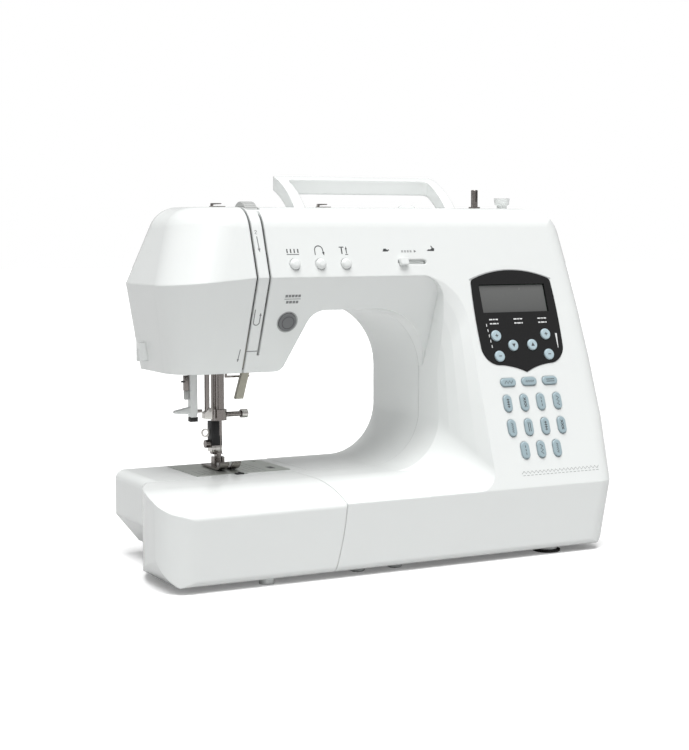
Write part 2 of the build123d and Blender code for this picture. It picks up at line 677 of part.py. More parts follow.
# Cast frame that carries the mechanism: a C of beams with bearing brackets.
frame_front = front + 148.0
frame_back = front + 168.0
post_x = (left + 318.0, left + 342.0)
head_plate_x = (left + 72.0, left + 116.5)
head_plate_y = (front + 156.0, frame_back)
motor_y = front + 124.0
motor_z = 110.0
motor_radius = 20.0
motor_face = left + 300.0
with BuildPart() as machine_frame:
    block((left + 52, left + 385), (frame_front, frame_back), (14, 24))
    block((left + 60, left + 90), (frame_front, frame_back), (23, 40))
    block((left + 112, left + 122), (frame_front, frame_back), (23, 40))
    block(post_x, (frame_front, frame_back), (23, 250))
    block((head_plate_x[0], left + 385), (frame_front, frame_back), (shaft_z - 18, shaft_z + 14))
    block(head_plate_x, head_plate_y, (164, 276))
    block(head_plate_x, (frame_front, frame_back), (164, shaft_z + 15), Mode.SUBTRACT)
    block(head_plate_x, head_plate_y, (164, 276))
    # Brackets of the main shaft.
    for x in (left + 150, post_x[0]):
        block((x, x + 9), (shaft_y - 9, frame_front + 1), (shaft_z - 9, shaft_z + 9))
        rod((x - 1, shaft_y, shaft_z), (x + 10, shaft_y, shaft_z), shaft_radius + run_fit, Mode.SUBTRACT)
    # Brackets of the lower shaft.
    for x in (left + 140, left + 305):
        block((x, x + 9), (lower_shaft_y - 8, frame_front + 1), (14, lower_shaft_z + 8))
        rod((x - 1, lower_shaft_y, lower_shaft_z), (x + 10, lower_shaft_y, lower_shaft_z),
            lower_shaft_radius + run_fit, Mode.SUBTRACT)
    # Bracket under the hook.
    block((needle_x - 12, needle_x + 12), (hook_y - 7, frame_front + 2), (38.5, 42.5))
    block((needle_x - 12, needle_x + 12), (frame_front, frame_back), (23, 42.5))
    rod((needle_x, hook_y, 30), (needle_x, hook_y, 50), 3.0 + run_fit, Mode.SUBTRACT)
    # Guides of the presser bar.
    for z in (166, 252):
        block((needle_x - 7, needle_x + 7), (presser_y - 5.2, head_plate_y[0] + 1), (z, z + 9))
        rod((needle_x, presser_y, z - 1), (needle_x, presser_y, z + 10), presser_radius + run_fit, Mode.SUBTRACT)
    # Pivot hole of the needle bar carrier, pin hole of the lifter, bracket of the take-up lever.
    rod((carrier_pivot_x, front + 150, carrier_pivot_z), (carrier_pivot_x, back, carrier_pivot_z),
        3.0 + run_fit, Mode.SUBTRACT)
    rod((left + 108, lifter_y, lifter_z), (left + 120, lifter_y, lifter_z), 2.5 + run_fit, Mode.SUBTRACT)
    block((left + 75, left + 81), (takeup_y - 7, head_plate_y[0] + 1), (takeup_z - 7, takeup_z + 7))
    rod((left + 74, takeup_y, takeup_z), (left + 82, takeup_y, takeup_z), 2.5 + run_fit, Mode.SUBTRACT)
    # Guides behind the threader's post and the buttonhole lever.
    block((needle_x - 29, needle_x - 22), (needle_y + 3.3, head_plate_y[0] + 1), (166, 175))
    block((needle_x + 20.4, needle_x + 25), (needle_y + 2.3, head_plate_y[0] + 4), (184, 191))
    block((needle_x + 11, needle_x + 25), (head_plate_y[0], head_plate_y[0] + 4), (184, 191))
    # Shelf that carries the motor.
    block((motor_face - 4, motor_face), (motor_y - 16, frame_back), (motor_z - 16, motor_z + 16))
    block((motor_face - 4, post_x[0] + 1), (frame_front, frame_back), (motor_z - 16, motor_z + 16))
    rod((motor_face - 6, motor_y, motor_z), (motor_face + 1, motor_y, motor_z), 6, Mode.SUBTRACT)
    # Feet that stand on the base tray, and threaded holes for the rear screws.
    for x in (left + 200, left + 360):
        rod((x, frame_back - 8, base_under + wall), (x, frame_back - 8, 15), 5)
    for x, z in screw_spots:
        rod((x, frame_back + 0.0, z), (x, frame_back + 5.2, z), 4)
        rod((x, frame_back - 8, z), (x, frame_back + 8, z), screw_radius + 0.1, Mode.SUBTRACT)
save(machine_frame.part, "machine_frame")

# Folding carry handle: a bowed U of flat bars that turns on two pins.
handle_thick = 11.0
handle_grip = 13.0
handle_low = (front + 114.0, body_top)
handle_high = (front + 158.0, body_top + 27.5)
handle_bow = 90.8


def handle_side():
    """Side outline of an arm, from its pivot eye to its blunt end."""
    rise = atan2(handle_high[1] - handle_low[1], handle_high[0] - handle_low[0])
    inner_low = (handle_low[0] + handle_thick * sin(rise + 0.29), handle_low[1] - handle_thick * cos(rise + 0.29))
    inner_high = (handle_high[0] + handle_thick * sin(rise - 0.29), handle_high[1] - handle_thick * cos(rise - 0.29))
    eye = (handle_pivot_y - 3.6, handle_pivot_z + 5.0)
    eye_inner = (handle_pivot_y + 5.0, handle_pivot_z - 3.6)
    with BuildSketch() as outline:
        with BuildLine():
            RadiusArc(handle_low, handle_high, handle_bow)
            Line(handle_high, inner_high)
            RadiusArc(inner_high, inner_low, -(handle_bow - handle_thick))
            Line(inner_low, eye_inner)
            ThreePointArc(eye_inner, (handle_pivot_y - 4.4, handle_pivot_z - 4.4), eye)
            Line(eye, handle_low)
        make_face()
        fillet(vertices().sort_by_distance(handle_high)[0], 2.0)
        fillet(vertices().sort_by_distance(inner_high)[0], 3.5)
    return outline.sketch


with BuildPart() as handle:
    with BuildSketch(Plane.YZ.offset(handle_left)):
        add(handle_side())
    extrude(amount=handle_right - handle_left)
    # Seen from above: a U of arms and grip with rounded corners.
    handle_end = handle.part.bounding_box().max.Y
    with BuildSketch(Plane.XY.offset(pocket_floor)):
        with Locations(((handle_left + handle_right) / 2, handle_end - depth / 2)):
            Rectangle(handle_right - handle_left, depth)
        round_corner(handle_left, handle_end, 7)
        round_corner(handle_right, handle_end, 7)
        with Locations(((handle_left + handle_right) / 2, handle_end - handle_grip - depth / 2)):
            Rectangle(handle_right - handle_left - 2 * handle_bar, depth, mode=Mode.SUBTRACT)
        round_corner(handle_left + handle_bar, handle_end - handle_grip, 4)
        round_corner(handle_right - handle_bar, handle_end - handle_grip, 4)
    extrude(amount=body_top, mode=Mode.INTERSECT)
    for arm in (handle_left, handle_right - handle_bar):
        rod((arm - pocket_gap - 1.8, handle_pivot_y, handle_pivot_z),
            (arm + handle_bar + pocket_gap + 1.8, handle_pivot_y, handle_pivot_z), handle_pin_radius)
save(handle.part, "handle")

with BuildPart() as rubber_feet:
    for x, y, radius in ((left + 170, front + 20, 6), (left + 204, front + 20, 6), (left + 350, front + 17, 10),
                         (left + 385, back - 16, 10), (left + 190, back - 16, 10)):
        rod((x, y, 0), (x, y, base_under), radius)
save(rubber_feet.part, "rubber_feet")

with BuildPart() as housing_screws:
    for x, z in screw_spots:
        rod((x, back - screw_head - 0.2, z), (x, back - 0.2, z), screw_head_radius)
        rod((x, back - 14, z), (x, back - screw_head, z), screw_radius)
        block((x - 2.4, x + 2.4), (back - 0.9, back), (z - 0.5, z + 0.5), Mode.SUBTRACT)
        block((x - 0.5, x + 0.5), (back - 0.9, back), (z - 2.4, z + 2.4), Mode.SUBTRACT)
save(housing_screws.part, "housing_screws")

# Shield over the display, with a window and holes for the round keys.
with BuildPart() as control_bezel:
    with BuildSketch(panel.offset(-shield_thick + shield_proud)):
        add(shield_outline(0))
        with Locations((shield_x, (window_s[0] + window_s[1]) / 2)):
            Rectangle(window_width, window_s[1] - window_s[0], mode=Mode.SUBTRACT)
        with Locations([(shield_x + dx, s) for dx, s in round_keys]):
            Circle(round_key_radius + key_gap, mode=Mode.SUBTRACT)
    extrude(amount=shield_thick)
save(control_bezel.part, "control_bezel")

# Circuit board behind the panel, with the display module standing on it.
with BuildPart() as control_board:
    with BuildSketch(panel.offset(-board_depth)):
        with Locations((shield_x, 102)):
            Rectangle(84, 164)
    extrude(amount=-board_thick)
    with BuildSketch(panel.offset(-board_depth)):
        with Locations((shield_x, (window_s[0] + window_s[1]) / 2)):
            Rectangle(window_width + 3, window_s[1] - window_s[0] + 3)
    extrude(amount=board_depth - shield_thick + shield_proud - 0.2)
    with BuildSketch(panel.offset(-board_depth)):
        with Locations([(shield_x + dx, s) for dx, s in round_keys + wide_keys + tall_keys]):
            Circle(2.0)
    extrude(amount=0.8)
save(control_board.part, "control_board")


def key_shape(plane, outline, proud, stem_depth):
    """A key that stands proud of the panel, with its stem behind."""
    with BuildPart() as key:
        with BuildSketch(plane.offset(-stem_depth)):
            add(outline)
        extrude(amount=stem_depth + proud)
        top = faces().sort_by(Axis(plane.origin, plane.z_dir))[-1]
        fillet(top.edges(), min(proud * 0.8, 1.0))
    return key.part


key_stem = board_depth - 0.8 - key_travel - 0.3
for number, (dx, s) in enumerate(round_keys, 1):
    with BuildSketch() as disc:
        with Locations((shield_x + dx, s)):
            Circle(round_key_radius)
    save(key_shape(panel, disc.sketch, 2.0, key_stem), f"round_key_{number}")
for number, (dx, s) in enumerate(wide_keys + tall_keys, 1):
    wide = number <= len(wide_keys)
    size = wide_key_size if wide else tall_key_size[::-1]
    with BuildSketch() as oblong:
        with Locations((shield_x + dx, s)):
            SlotOverall(size[0], size[1], rotation=0 if wide else 90)
    save(key_shape(panel, oblong.sketch, 1.4, key_stem), f"stitch_key_{number:02d}")

for name, x in button_x.items():
    with BuildPart() as button:
        with BuildSketch(panel.offset(-5)):
            with Locations((x, button_s)):
                Circle(button_radius)
        extrude(amount=8.4)
        fillet(faces().sort_by(Axis(panel.origin, panel.z_dir))[-1].edges(), 2.8)
    save(button.part, name)

with BuildPart() as start_stop_button:
    with BuildSketch(under_panel.offset(-6)):
        with Locations((start_x, -start_s)):
            Circle(start_radius)
    extrude(amount=7.6)
    fillet(faces().sort_by(Axis(under_panel.origin, under_panel.z_dir))[-1].edges(), 1.2)
save(start_stop_button.part, "start_stop_button")

with BuildPart() as speed_slider:
    with BuildSketch(panel.offset(-wall - 2.4)):
        with Locations((slider_x[0] + slider_knob / 2 + 0.6, slider_s)):
            Rectangle(6, slider_slot - 0.6)
    extrude(amount=wall + 3.5)
    with BuildSketch(panel.offset(0.3)):
        with Locations((slider_x[0] + slider_knob / 2 + 0.6, slider_s)):
            RectangleRounded(slider_knob, 6.6, 1.6)
    extrude(amount=3.4)
    with BuildSketch(panel.offset(-wall - 2.4)):
        with Locations((slider_x[0] + slider_knob / 2 + 0.6, slider_s)):
            Rectangle(2 * (slider_x[1] - slider_x[0]) - slider_knob, 9)
    extrude(amount=1.9)
save(speed_slider.part, "speed_slider")

# Main shaft with its crank disc, belt pulley and journal; handwheel on its end.
wheel_face = length / 2
with BuildPart() as main_shaft:
    rod((left + 114, shaft_y, shaft_z), (wheel_face - wheel_width - 4, shaft_y, shaft_z), shaft_radius)
    rod((left + 114, shaft_y, shaft_z), (left + 119, shaft_y, shaft_z), 15)
    rod((left + 110, shaft_y - 10, shaft_z), (left + 115, shaft_y - 10, shaft_z), 2.5)
    rod((left + 352, shaft_y, shaft_z), (left + 360, shaft_y, shaft_z), 16)
save(main_shaft.part, "main_shaft")

with BuildPart() as handwheel:
    rod((wheel_face - wheel_width, shaft_y, shaft_z), (wheel_face, shaft_y, shaft_z), wheel_radius)
    fillet(edges().filter_by(GeomType.CIRCLE), 2.5)
    rod((side_x(shaft_z) - 10, shaft_y, shaft_z), (wheel_face - wheel_width + 1, shaft_y, shaft_z), 7.8)
    with Locations(Plane(origin=(wheel_face, shaft_y, shaft_z), z_dir=(1, 0, 0))):
        with PolarLocations(wheel_radius, 24):
            Cylinder(1.0, 30, mode=Mode.SUBTRACT)
    rod((wheel_face - 2.5, shaft_y, shaft_z), (wheel_face + 1, shaft_y, shaft_z), 15, Mode.SUBTRACT)
    rod((side_x(shaft_z) - 11, shaft_y, shaft_z), (wheel_face - wheel_width - 4, shaft_y, shaft_z),
        shaft_radius, Mode.SUBTRACT)
save(handwheel.part, "handwheel")

with BuildPart() as needle_bar_carrier:
    block((needle_x - 14, needle_x - 6), (needle_y - 5, needle_y + 5), (172, carrier_pivot_z + 6))
    for z in (172, 246):
        block((needle_x - 14, needle_x + 6), (needle_y - 5.4, needle_y + 5.6), (z, z + 9))
    for z in (171, 245):
        rod((needle_x, needle_y, z), (needle_x, needle_y, z + 11), bar_radius + run_fit, Mode.SUBTRACT)
    rod((carrier_pivot_x, needle_y - 2, carrier_pivot_z), (carrier_pivot_x, frame_back - 2, carrier_pivot_z), 3.0)
save(needle_bar_carrier.part, "needle_bar_carrier")

with BuildPart() as needle_bar:
    rod((needle_x, needle_y, clamp_z), (needle_x, needle_y, 262), bar_radius)
save(needle_bar.part, "needle_bar")

# Needle clamp, its thumb screw and the needle.
with BuildPart() as needle:
    rod((needle_x, needle_y, clamp_z), (needle_x, needle_y, clamp_z + 9), 5.2)
    rod((needle_x, needle_y, clamp_z + 4.5), (needle_x + 19, needle_y, clamp_z + 4.5), 2.1)
    rod((needle_x + 18.5, needle_y, clamp_z + 4.5), (needle_x + 24, needle_y, clamp_z + 4.5), 3.6)
    rod((needle_x, needle_y, clamp_z), (needle_x, needle_y, clamp_z + 10), bar_radius, Mode.SUBTRACT)
    rod((needle_x, needle_y, clamp_z - 13), (needle_x, needle_y, clamp_z), 1.0)
    with Locations((needle_x, needle_y, clamp_z - 13)):
        Cone(0.12, 0.45, clamp_z - 13 - needle_tip_z, align=(Align.CENTER, Align.CENTER, Align.MAX))
save(needle.part, "needle")

with BuildPart() as take_up_lever:
    reach = (takeup_y - takeup_reach * 0.76, takeup_z + takeup_reach * 0.65)
    with BuildSketch(Plane.YZ.offset(slot_left + 0.5)):
        with BuildLine():
            Polyline((takeup_y, takeup_z - 5), (takeup_y - 16, takeup_z + 5), (reach[0] - 2, reach[1] - 5),
                     (reach[0] + 1, reach[1] + 1), (takeup_y - 14, takeup_z + 15), (takeup_y, takeup_z + 5),
                     close=True)
        make_face()
        with Locations((takeup_y, takeup_z)):
            Circle(5)
        with Locations((reach[0] + 2.2, reach[1] - 3.4)):
            Circle(1.0, mode=Mode.SUBTRACT)
    extrude(amount=1.0)
    rod((left + 83, takeup_y, takeup_z), (slot_left + 1.0, takeup_y, takeup_z), 4.5)
    rod((left + 75, takeup_y, takeup_z), (left + 84, takeup_y, takeup_z), 2.5)
save(take_up_lever.part, "take_up_lever")

# Presser bar with the shank that its thumb screw holds.
shank_z = (80.0, 106.0)
foot_pin_z = 78.2
foot_pin_y = needle_y + 6.0
with BuildPart() as presser_bar:
    rod((needle_x, presser_y, shank_z[0] + 8), (needle_x, presser_y, 264), presser_radius)
    with BuildSketch(Plane.YZ.offset(needle_x - 4.5)):
        with BuildLine():
            Polyline((presser_y + 4.6, shank_z[1]), (presser_y - 4.6, shank_z[1]), (presser_y - 4.6, 84),
                     (foot_pin_y - 3.4, 81), (foot_pin_y - 3.4, foot_pin_z - 1.5), (foot_pin_y + 3.4, foot_pin_z - 1.5),
                     (foot_pin_y + 3.4, 81), (presser_y + 4.6, 88), close=True)
        make_face()
    extrude(amount=9)
    block((needle_x - 4.6, needle_x + 4.6), (foot_pin_y - 5, foot_pin_y + 5), (foot_pin_z - 4, foot_pin_z + 4.5),
          Mode.SUBTRACT)
    block((needle_x - 2.0, needle_x + 2.0), (foot_pin_y - 2.4, foot_pin_y + 3.0), (foot_pin_z - 2.4, 84))
    rod((needle_x - 3, foot_pin_y, foot_pin_z), (needle_x + 3, foot_pin_y, foot_pin_z), 1.0 + run_fit, Mode.SUBTRACT)
    rod((needle_x - 9, presser_y, 91), (needle_x - 4, presser_y, 91), 3.4)
    rod((needle_x - 5, presser_y, 91), (needle_x - 2, presser_y, 91), 1.6)
save(presser_bar.part, "presser_bar")

# Zigzag foot: two toes that turn up at the front, and the cross pin.
foot_under = plate_top + 0.6
with BuildPart() as presser_foot:
    with BuildSketch(Plane.YZ.offset(needle_x - 9)):
        with BuildLine():
            Polyline((needle_y + 20, foot_under), (needle_y - 10, foot_under))
            ThreePointArc((needle_y - 10, foot_under), (needle_y - 17, foot_under + 1.8),
                          (needle_y - 21, foot_under + 6.6))
            Line((needle_y - 21, foot_under + 6.6), (needle_y - 19.6, foot_under + 7.2))
            ThreePointArc((needle_y - 19.6, foot_under + 7.2), (needle_y - 16, foot_under + 3.2),
                          (needle_y - 10, foot_under + 1.6))
            Polyline((needle_y - 10, foot_under + 1.6), (needle_y + 20, foot_under + 1.6), (needle_y + 20, foot_under))
        make_face()
    extrude(amount=18)
    block((needle_x - 4.6, needle_x + 4.6), (needle_y - 1.4, needle_y + 1.4), (foot_under - 1, foot_under + 5),
          Mode.SUBTRACT)
    block((needle_x - 1.5, needle_x + 1.5), (needle_y - 25, needle_y), (foot_under - 1, foot_under + 12),
          Mode.SUBTRACT)
    for side in (-1, 1):
        block((needle_x + side * 2.6, needle_x + side * 4.6), (foot_pin_y - 3.5, foot_pin_y + 3.5),
              (foot_under + 1.5, foot_pin_z + 2.4))
    rod((needle_x - 4, foot_pin_y, foot_pin_z), (needle_x + 4, foot_pin_y, foot_pin_z), 1.0)
save(presser_foot.part, "presser_foot")

with BuildPart() as presser_lifter:
    with BuildSketch(Plane.YZ.offset(lifter_x)):
        with BuildLine():
            Polyline((lifter_y - 4.6, lifter_z), (lifter_y - 3, 154), (lifter_y - 2, 149.5), (lifter_y + 6, 148.5),
                     (lifter_y + 6, 153), (lifter_y + 4.8, 158), (lifter_y + 4.6, lifter_z), close=True)
        make_face()
        with Locations((lifter_y, lifter_z)):
            Circle(5)
    extrude(amount=5.0)
    rod((left + 109, lifter_y, lifter_z), (lifter_x + 1, lifter_y, lifter_z), 2.5)
save(presser_lifter.part, "presser_lifter")

# Needle threader: a post, a cross arm to the left and a hook block.
threader_x = needle_x - 25.5
with BuildPart() as needle_threader:
    block((threader_x - 4, threader_x + 4), (needle_y - 4, needle_y + 3), (118, 176))
    block((threader_x - 17, threader_x - 3), (needle_y - 3, needle_y + 3), (120, 124))
    block((threader_x - 3, threader_x + 4), (needle_y - 3, needle_y + 3), (112, 119))
    block((threader_x + 3, threader_x + 9), (needle_y - 1.5, needle_y + 1.5), (118, 122))
save(needle_threader.part, "needle_threader")

with BuildPart() as buttonhole_lever:
    with BuildSketch(Plane.XZ.offset(-(needle_y + 2))):
        with BuildLine():
            Polyline((needle_x + 13, 129), (needle_x + 20, 129), (needle_x + 25.5, 150), (needle_x + 25.5, 192),
                     (needle_x + 20, 192), (needle_x + 20, 154), close=True)
        make_face()
    extrude(amount=4)
save(buttonhole_lever.part, "buttonhole_lever")

with BuildPart() as lower_shaft:
    rod((needle_x - 1, lower_shaft_y, lower_shaft_z), (left + 362, lower_shaft_y, lower_shaft_z), lower_shaft_radius)
    rod((needle_x - 4, lower_shaft_y, lower_shaft_z), (needle_x + 6, lower_shaft_y, lower_shaft_z), 5.4)
    rod((left + 352, lower_shaft_y, lower_shaft_z), (left + 360, lower_shaft_y, lower_shaft_z), 16)
save(lower_shaft.part, "lower_shaft")

with BuildPart() as drive_motor:
    rod((motor_face, motor_y, motor_z), (motor_face + 46, motor_y, motor_z), motor_radius)
    rod((motor_face - 5, motor_y, motor_z), (motor_face + 1, motor_y, motor_z), 5.7)
    rod((motor_face + 45, motor_y, motor_z), (motor_face + 64, motor_y, motor_z), 2.5)
    rod((motor_face + 52, motor_y, motor_z), (motor_face + 60, motor_y, motor_z), 7)
save(drive_motor.part, "drive_motor")

# Hook that turns on an upright spindle, with a cup for the bobbin.
hook_top = plate_top - plate_thick - 4.4
with BuildPart() as rotary_hook:
    rod((needle_x, hook_y, 47), (needle_x, hook_y, hook_top), hook_radius)
    rod((needle_x, hook_y, 50), (needle_x, hook_y, hook_top + 1), hook_radius - 1.8, Mode.SUBTRACT)
    rod((needle_x, hook_y, 20), (needle_x, hook_y, 48), 3.0)
    rod((needle_x, hook_y, 42.8), (needle_x, hook_y, 47.5), 6)
    rod((needle_x, hook_y, 22), (needle_x, hook_y, 34), 5.6)
    rod((needle_x, hook_y, 49), (needle_x, hook_y, 60), 3.0)
save(rotary_hook.part, "rotary_hook")

with BuildPart() as feed_dog:
    low = plate_top - plate_thick - 2.8
    block((needle_x - 9, needle_x + 9), (needle_y - 11, needle_y + 13), (low, low + 1.8))
    for dx in feed_rows:
        block((needle_x + dx - feed_rib / 2, needle_x + dx + feed_rib / 2),
              (needle_y - feed_length / 2, needle_y + feed_length / 2), (low + 1.5, plate_top - 0.1))
    block((needle_x - 4.2, needle_x + 4.2), (needle_y - 3.6, needle_y + 3.6), (low - 1, low + 5), Mode.SUBTRACT)
    block((needle_x - 7, needle_x + 7), (needle_y + 13 - 0.5, needle_y + 19), (low, low + 1.8))
    block((needle_x - 7, needle_x + 7), (needle_y + 13.5, needle_y + 19), (42.9, low + 1))
save(feed_dog.part, "feed_dog")

with BuildPart() as winder_spindle:
    rod((spindle_x, spindle_y, body_top - 20), (spindle_x, spindle_y, body_top + 16.5), spindle_radius)
    fillet(faces().sort_by(Axis.Z)[-1].edges(), 0.8)
    rod((spindle_x, spindle_y, body_top - 18), (spindle_x, spindle_y, body_top - 12.4), 9)
    rod((spindle_x, spindle_y, body_top + 0.3), (spindle_x, spindle_y, body_top + 1.6), 5)
    block((spindle_x - 0.5, spindle_x + 0.5), (spindle_y - 5, spindle_y + 5), (body_top + 6, body_top + 20),
          Mode.SUBTRACT)
save(winder_spindle.part, "winder_spindle")

with BuildPart() as winder_stop:
    rod((stop_x, stop_y, body_top), (stop_x, stop_y, body_top + 2.6), 4.4)
    with Locations((stop_x, stop_y, body_top + 2.5)):
        Cone(4.4, 6.4, 1.4, align=(Align.CENTER, Align.CENTER, Align.MIN))
    with Locations((stop_x, stop_y, body_top + 3.9)):
        Cone(6.4, 7.0, 5.3, align=(Align.CENTER, Align.CENTER, Align.MIN))
    rod((stop_x, stop_y, body_top - 6), (stop_x, stop_y, body_top + 1), 2.9)
save(winder_stop.part, "winder_stop")

with BuildPart() as tension_dial:
    rod((dial_x[0], dial_y, dial_z), (dial_x[1], dial_y, dial_z), dial_radius)
    fillet(edges().filter_by(GeomType.CIRCLE), 0.8)
    with Locations(Plane(origin=((dial_x[0] + dial_x[1]) / 2, dial_y, dial_z), z_dir=(1, 0, 0))):
        with PolarLocations(dial_radius, 36):
            Cylinder(0.45, 20, mode=Mode.SUBTRACT)
    rod((dial_x[1] - 1, dial_y, dial_z), (dial_x[1] + 5, dial_y, dial_z), 2.0)
save(tension_dial.part, "tension_dial")

# Thread path on the top: guides over the head, a guide for winding, and the spool pin with its cap.
with BuildPart() as thread_guides:
    for x, y in ((left + 88, front + 104), (left + 183, front + 103)):
        block((x - 6, x + 6), (y - 3, y + 3), (body_top, body_top + 0.9))
        block((x - 6, x - 4.8), (y - 3, y + 3), (body_top + 0.5, body_top + 3.2))
        block((x - 6, x + 3), (y - 3, y + 3), (body_top + 2.4, body_top + 3.2))
    rod((spool_x, spool_y, body_top), (spool_x, spool_y, body_top + 3.0), 7.5)
    fillet(edges().filter_by(GeomType.CIRCLE).sort_by(Axis.Z)[-1], 2.2)
save(thread_guides.part, "thread_guides")

# Mains inlet panel on the right side, and the rocker switch in it.
switch_y = inlet_y[0] + 30.0
switch_z = inlet_z[1] - 15.0
with BuildPart() as power_inlet:
    block((inlet_back, inlet_back + 3), (inlet_y[0] + seam, inlet_y[1] - seam), (inlet_z[0] + seam, inlet_z[1] - seam))
    block((inlet_back + 2, inlet_back + 6), (inlet_y[0] + 8, inlet_y[0] + 37), (inlet_z[0] + 3, inlet_z[0] + 25))
    block((inlet_back + 1.0, inlet_back + 7), (inlet_y[0] + 10, inlet_y[0] + 35), (inlet_z[0] + 5, inlet_z[0] + 23),
          Mode.SUBTRACT)
    block((inlet_back - 1, inlet_back + 4), (switch_y - 10.3, switch_y + 10.3), (switch_z - 6.6, switch_z + 6.6),
          Mode.SUBTRACT)
save(power_inlet.part, "power_inlet")

with BuildPart() as power_switch:
    with BuildSketch(Plane.XZ.offset(-(switch_y - 10))):
        with BuildLine():
            Polyline((inlet_back + 0.9, switch_z - 5), (inlet_back + 2.2, switch_z - 6), (inlet_back + 5.0, switch_z - 6),
                     (inlet_back + 3.8, switch_z), (inlet_back + 5.0, switch_z + 6), (inlet_back + 2.2, switch_z + 6),
                     (inlet_back + 0.9, switch_z + 5), close=True)
        make_face()
    extrude(amount=-20)
save(power_switch.part, "power_switch")
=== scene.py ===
import json
from math import atan2, cos, pi, radians, sin

import bmesh
import bpy
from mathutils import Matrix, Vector


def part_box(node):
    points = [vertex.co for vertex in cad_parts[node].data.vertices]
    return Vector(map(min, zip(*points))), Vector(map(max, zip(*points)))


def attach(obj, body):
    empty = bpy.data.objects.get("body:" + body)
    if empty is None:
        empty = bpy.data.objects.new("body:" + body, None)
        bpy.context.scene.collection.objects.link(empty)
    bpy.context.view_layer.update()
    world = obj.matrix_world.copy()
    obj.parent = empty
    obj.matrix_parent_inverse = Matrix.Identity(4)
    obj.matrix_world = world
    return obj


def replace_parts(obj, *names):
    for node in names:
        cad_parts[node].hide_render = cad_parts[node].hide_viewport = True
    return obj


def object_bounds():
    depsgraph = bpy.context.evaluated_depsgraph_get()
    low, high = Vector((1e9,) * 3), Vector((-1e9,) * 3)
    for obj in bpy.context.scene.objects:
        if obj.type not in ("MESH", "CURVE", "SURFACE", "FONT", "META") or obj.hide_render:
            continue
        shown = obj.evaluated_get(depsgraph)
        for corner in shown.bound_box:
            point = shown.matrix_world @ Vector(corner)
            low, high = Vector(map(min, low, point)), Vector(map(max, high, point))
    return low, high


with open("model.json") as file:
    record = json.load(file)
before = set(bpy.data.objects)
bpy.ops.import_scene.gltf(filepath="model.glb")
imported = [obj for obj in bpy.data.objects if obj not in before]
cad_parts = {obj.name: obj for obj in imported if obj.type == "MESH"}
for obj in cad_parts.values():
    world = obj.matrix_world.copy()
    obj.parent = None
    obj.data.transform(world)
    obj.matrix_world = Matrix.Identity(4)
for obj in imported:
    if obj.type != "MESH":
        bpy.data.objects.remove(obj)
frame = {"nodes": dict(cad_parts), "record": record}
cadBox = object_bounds()
print("frame loaded:", len(frame["nodes"]), "nodes")

mm = 0.001
machine = {  # the faces that the marks are printed on
    "left": -cadBox[1].x, "front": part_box("front_housing")[0].y, "bedFront": 58 * mm, "crease": 232 * mm,
    "armSetback": 60 * mm, "undercut": 30 * mm, "underSide": 155 * mm, "plateTop": 71.4 * mm,
    "needle": (104.5, 138.0), "presser": (104.5, 150.0),
}


# Shader maths as expressions: a wrapped socket with operators.
class Socket:
    def __init__(self, tree, socket):
        self.tree = tree
        self.socket = socket

    def maths(self, operation, first, second):
        node = self.tree.nodes.new("ShaderNodeMath")
        node.operation = operation
        for place, value in enumerate((first, second)):
            if isinstance(value, Socket):
                self.tree.links.new(value.socket, node.inputs[place])
            else:
                node.inputs[place].default_value = value
        return Socket(self.tree, node.outputs[0])

    def __add__(self, other):
        return self.maths("ADD", self, other)

    def __radd__(self, other):
        return self.maths("ADD", other, self)

    def __sub__(self, other):
        return self.maths("SUBTRACT", self, other)

    def __rsub__(self, other):
        return self.maths("SUBTRACT", other, self)

    def __mul__(self, other):
        return self.maths("MULTIPLY", self, other)

    def __rmul__(self, other):
        return self.maths("MULTIPLY", other, self)


class Finish:
    def __init__(self, name):
        self.material = bpy.data.materials.new(name)
        self.material.use_nodes = True
        self.tree = self.material.node_tree
        self.shader = self.tree.nodes["Principled BSDF"]

    def node(self, kind, settings=None, **values):
        made = self.tree.nodes.new("ShaderNode" + kind)
        for key, value in (settings or {}).items():
            if key == "stops":
                while len(made.color_ramp.elements) < len(value):
                    made.color_ramp.elements.new(0.5)
                for element, (place, colour) in zip(made.color_ramp.elements, value):
                    element.position = place
                    element.color = colour
            else:
                setattr(made, key, value)
        for key, value in values.items():
            self.feed(made.inputs[key], value)
        return made

    def feed(self, socket, value):
        if isinstance(value, Socket):
            self.tree.links.new(value.socket, socket)
        else:
            socket.default_value = value

    def out(self, made, name):
        return Socket(self.tree, made.outputs[name])

    def noise(self, scale, detail=3.0, stretch=(1, 1, 1)):
        place = self.out(self.node("TexCoord"), "Object")
        mapped = self.node("Mapping", {"vector_type": "POINT"}, Vector=place, Scale=stretch)
        made = self.node("TexNoise", Vector=self.out(mapped, "Vector"), Scale=scale, Detail=detail)
        return self.out(made, "Fac")

    def blend(self, share, first, second):
        made = self.node("Mix", {"data_type": "RGBA"})
        self.feed(made.inputs[0], share)
        self.feed(made.inputs[6], first)
        self.feed(made.inputs[7], second)
        return Socket(self.tree, made.outputs[2])

    def set(self, **values):
        for key, value in values.items():
            self.feed(self.shader.inputs[key.replace("_", " ")], value)

    def bump(self, height, strength, distance, edge=0.0):
        made = self.node("Bump", Height=height, Strength=strength, Distance=distance)
        if edge:
            rounded = self.node("Bevel", {"samples": 6}, Radius=edge)
            self.feed(made.inputs["Normal"], self.out(rounded, "Normal"))
        self.set(Normal=self.out(made, "Normal"))


def tone(r, g, b, scale=1.0):
    return (r * scale, g * scale, b * scale, 1.0)


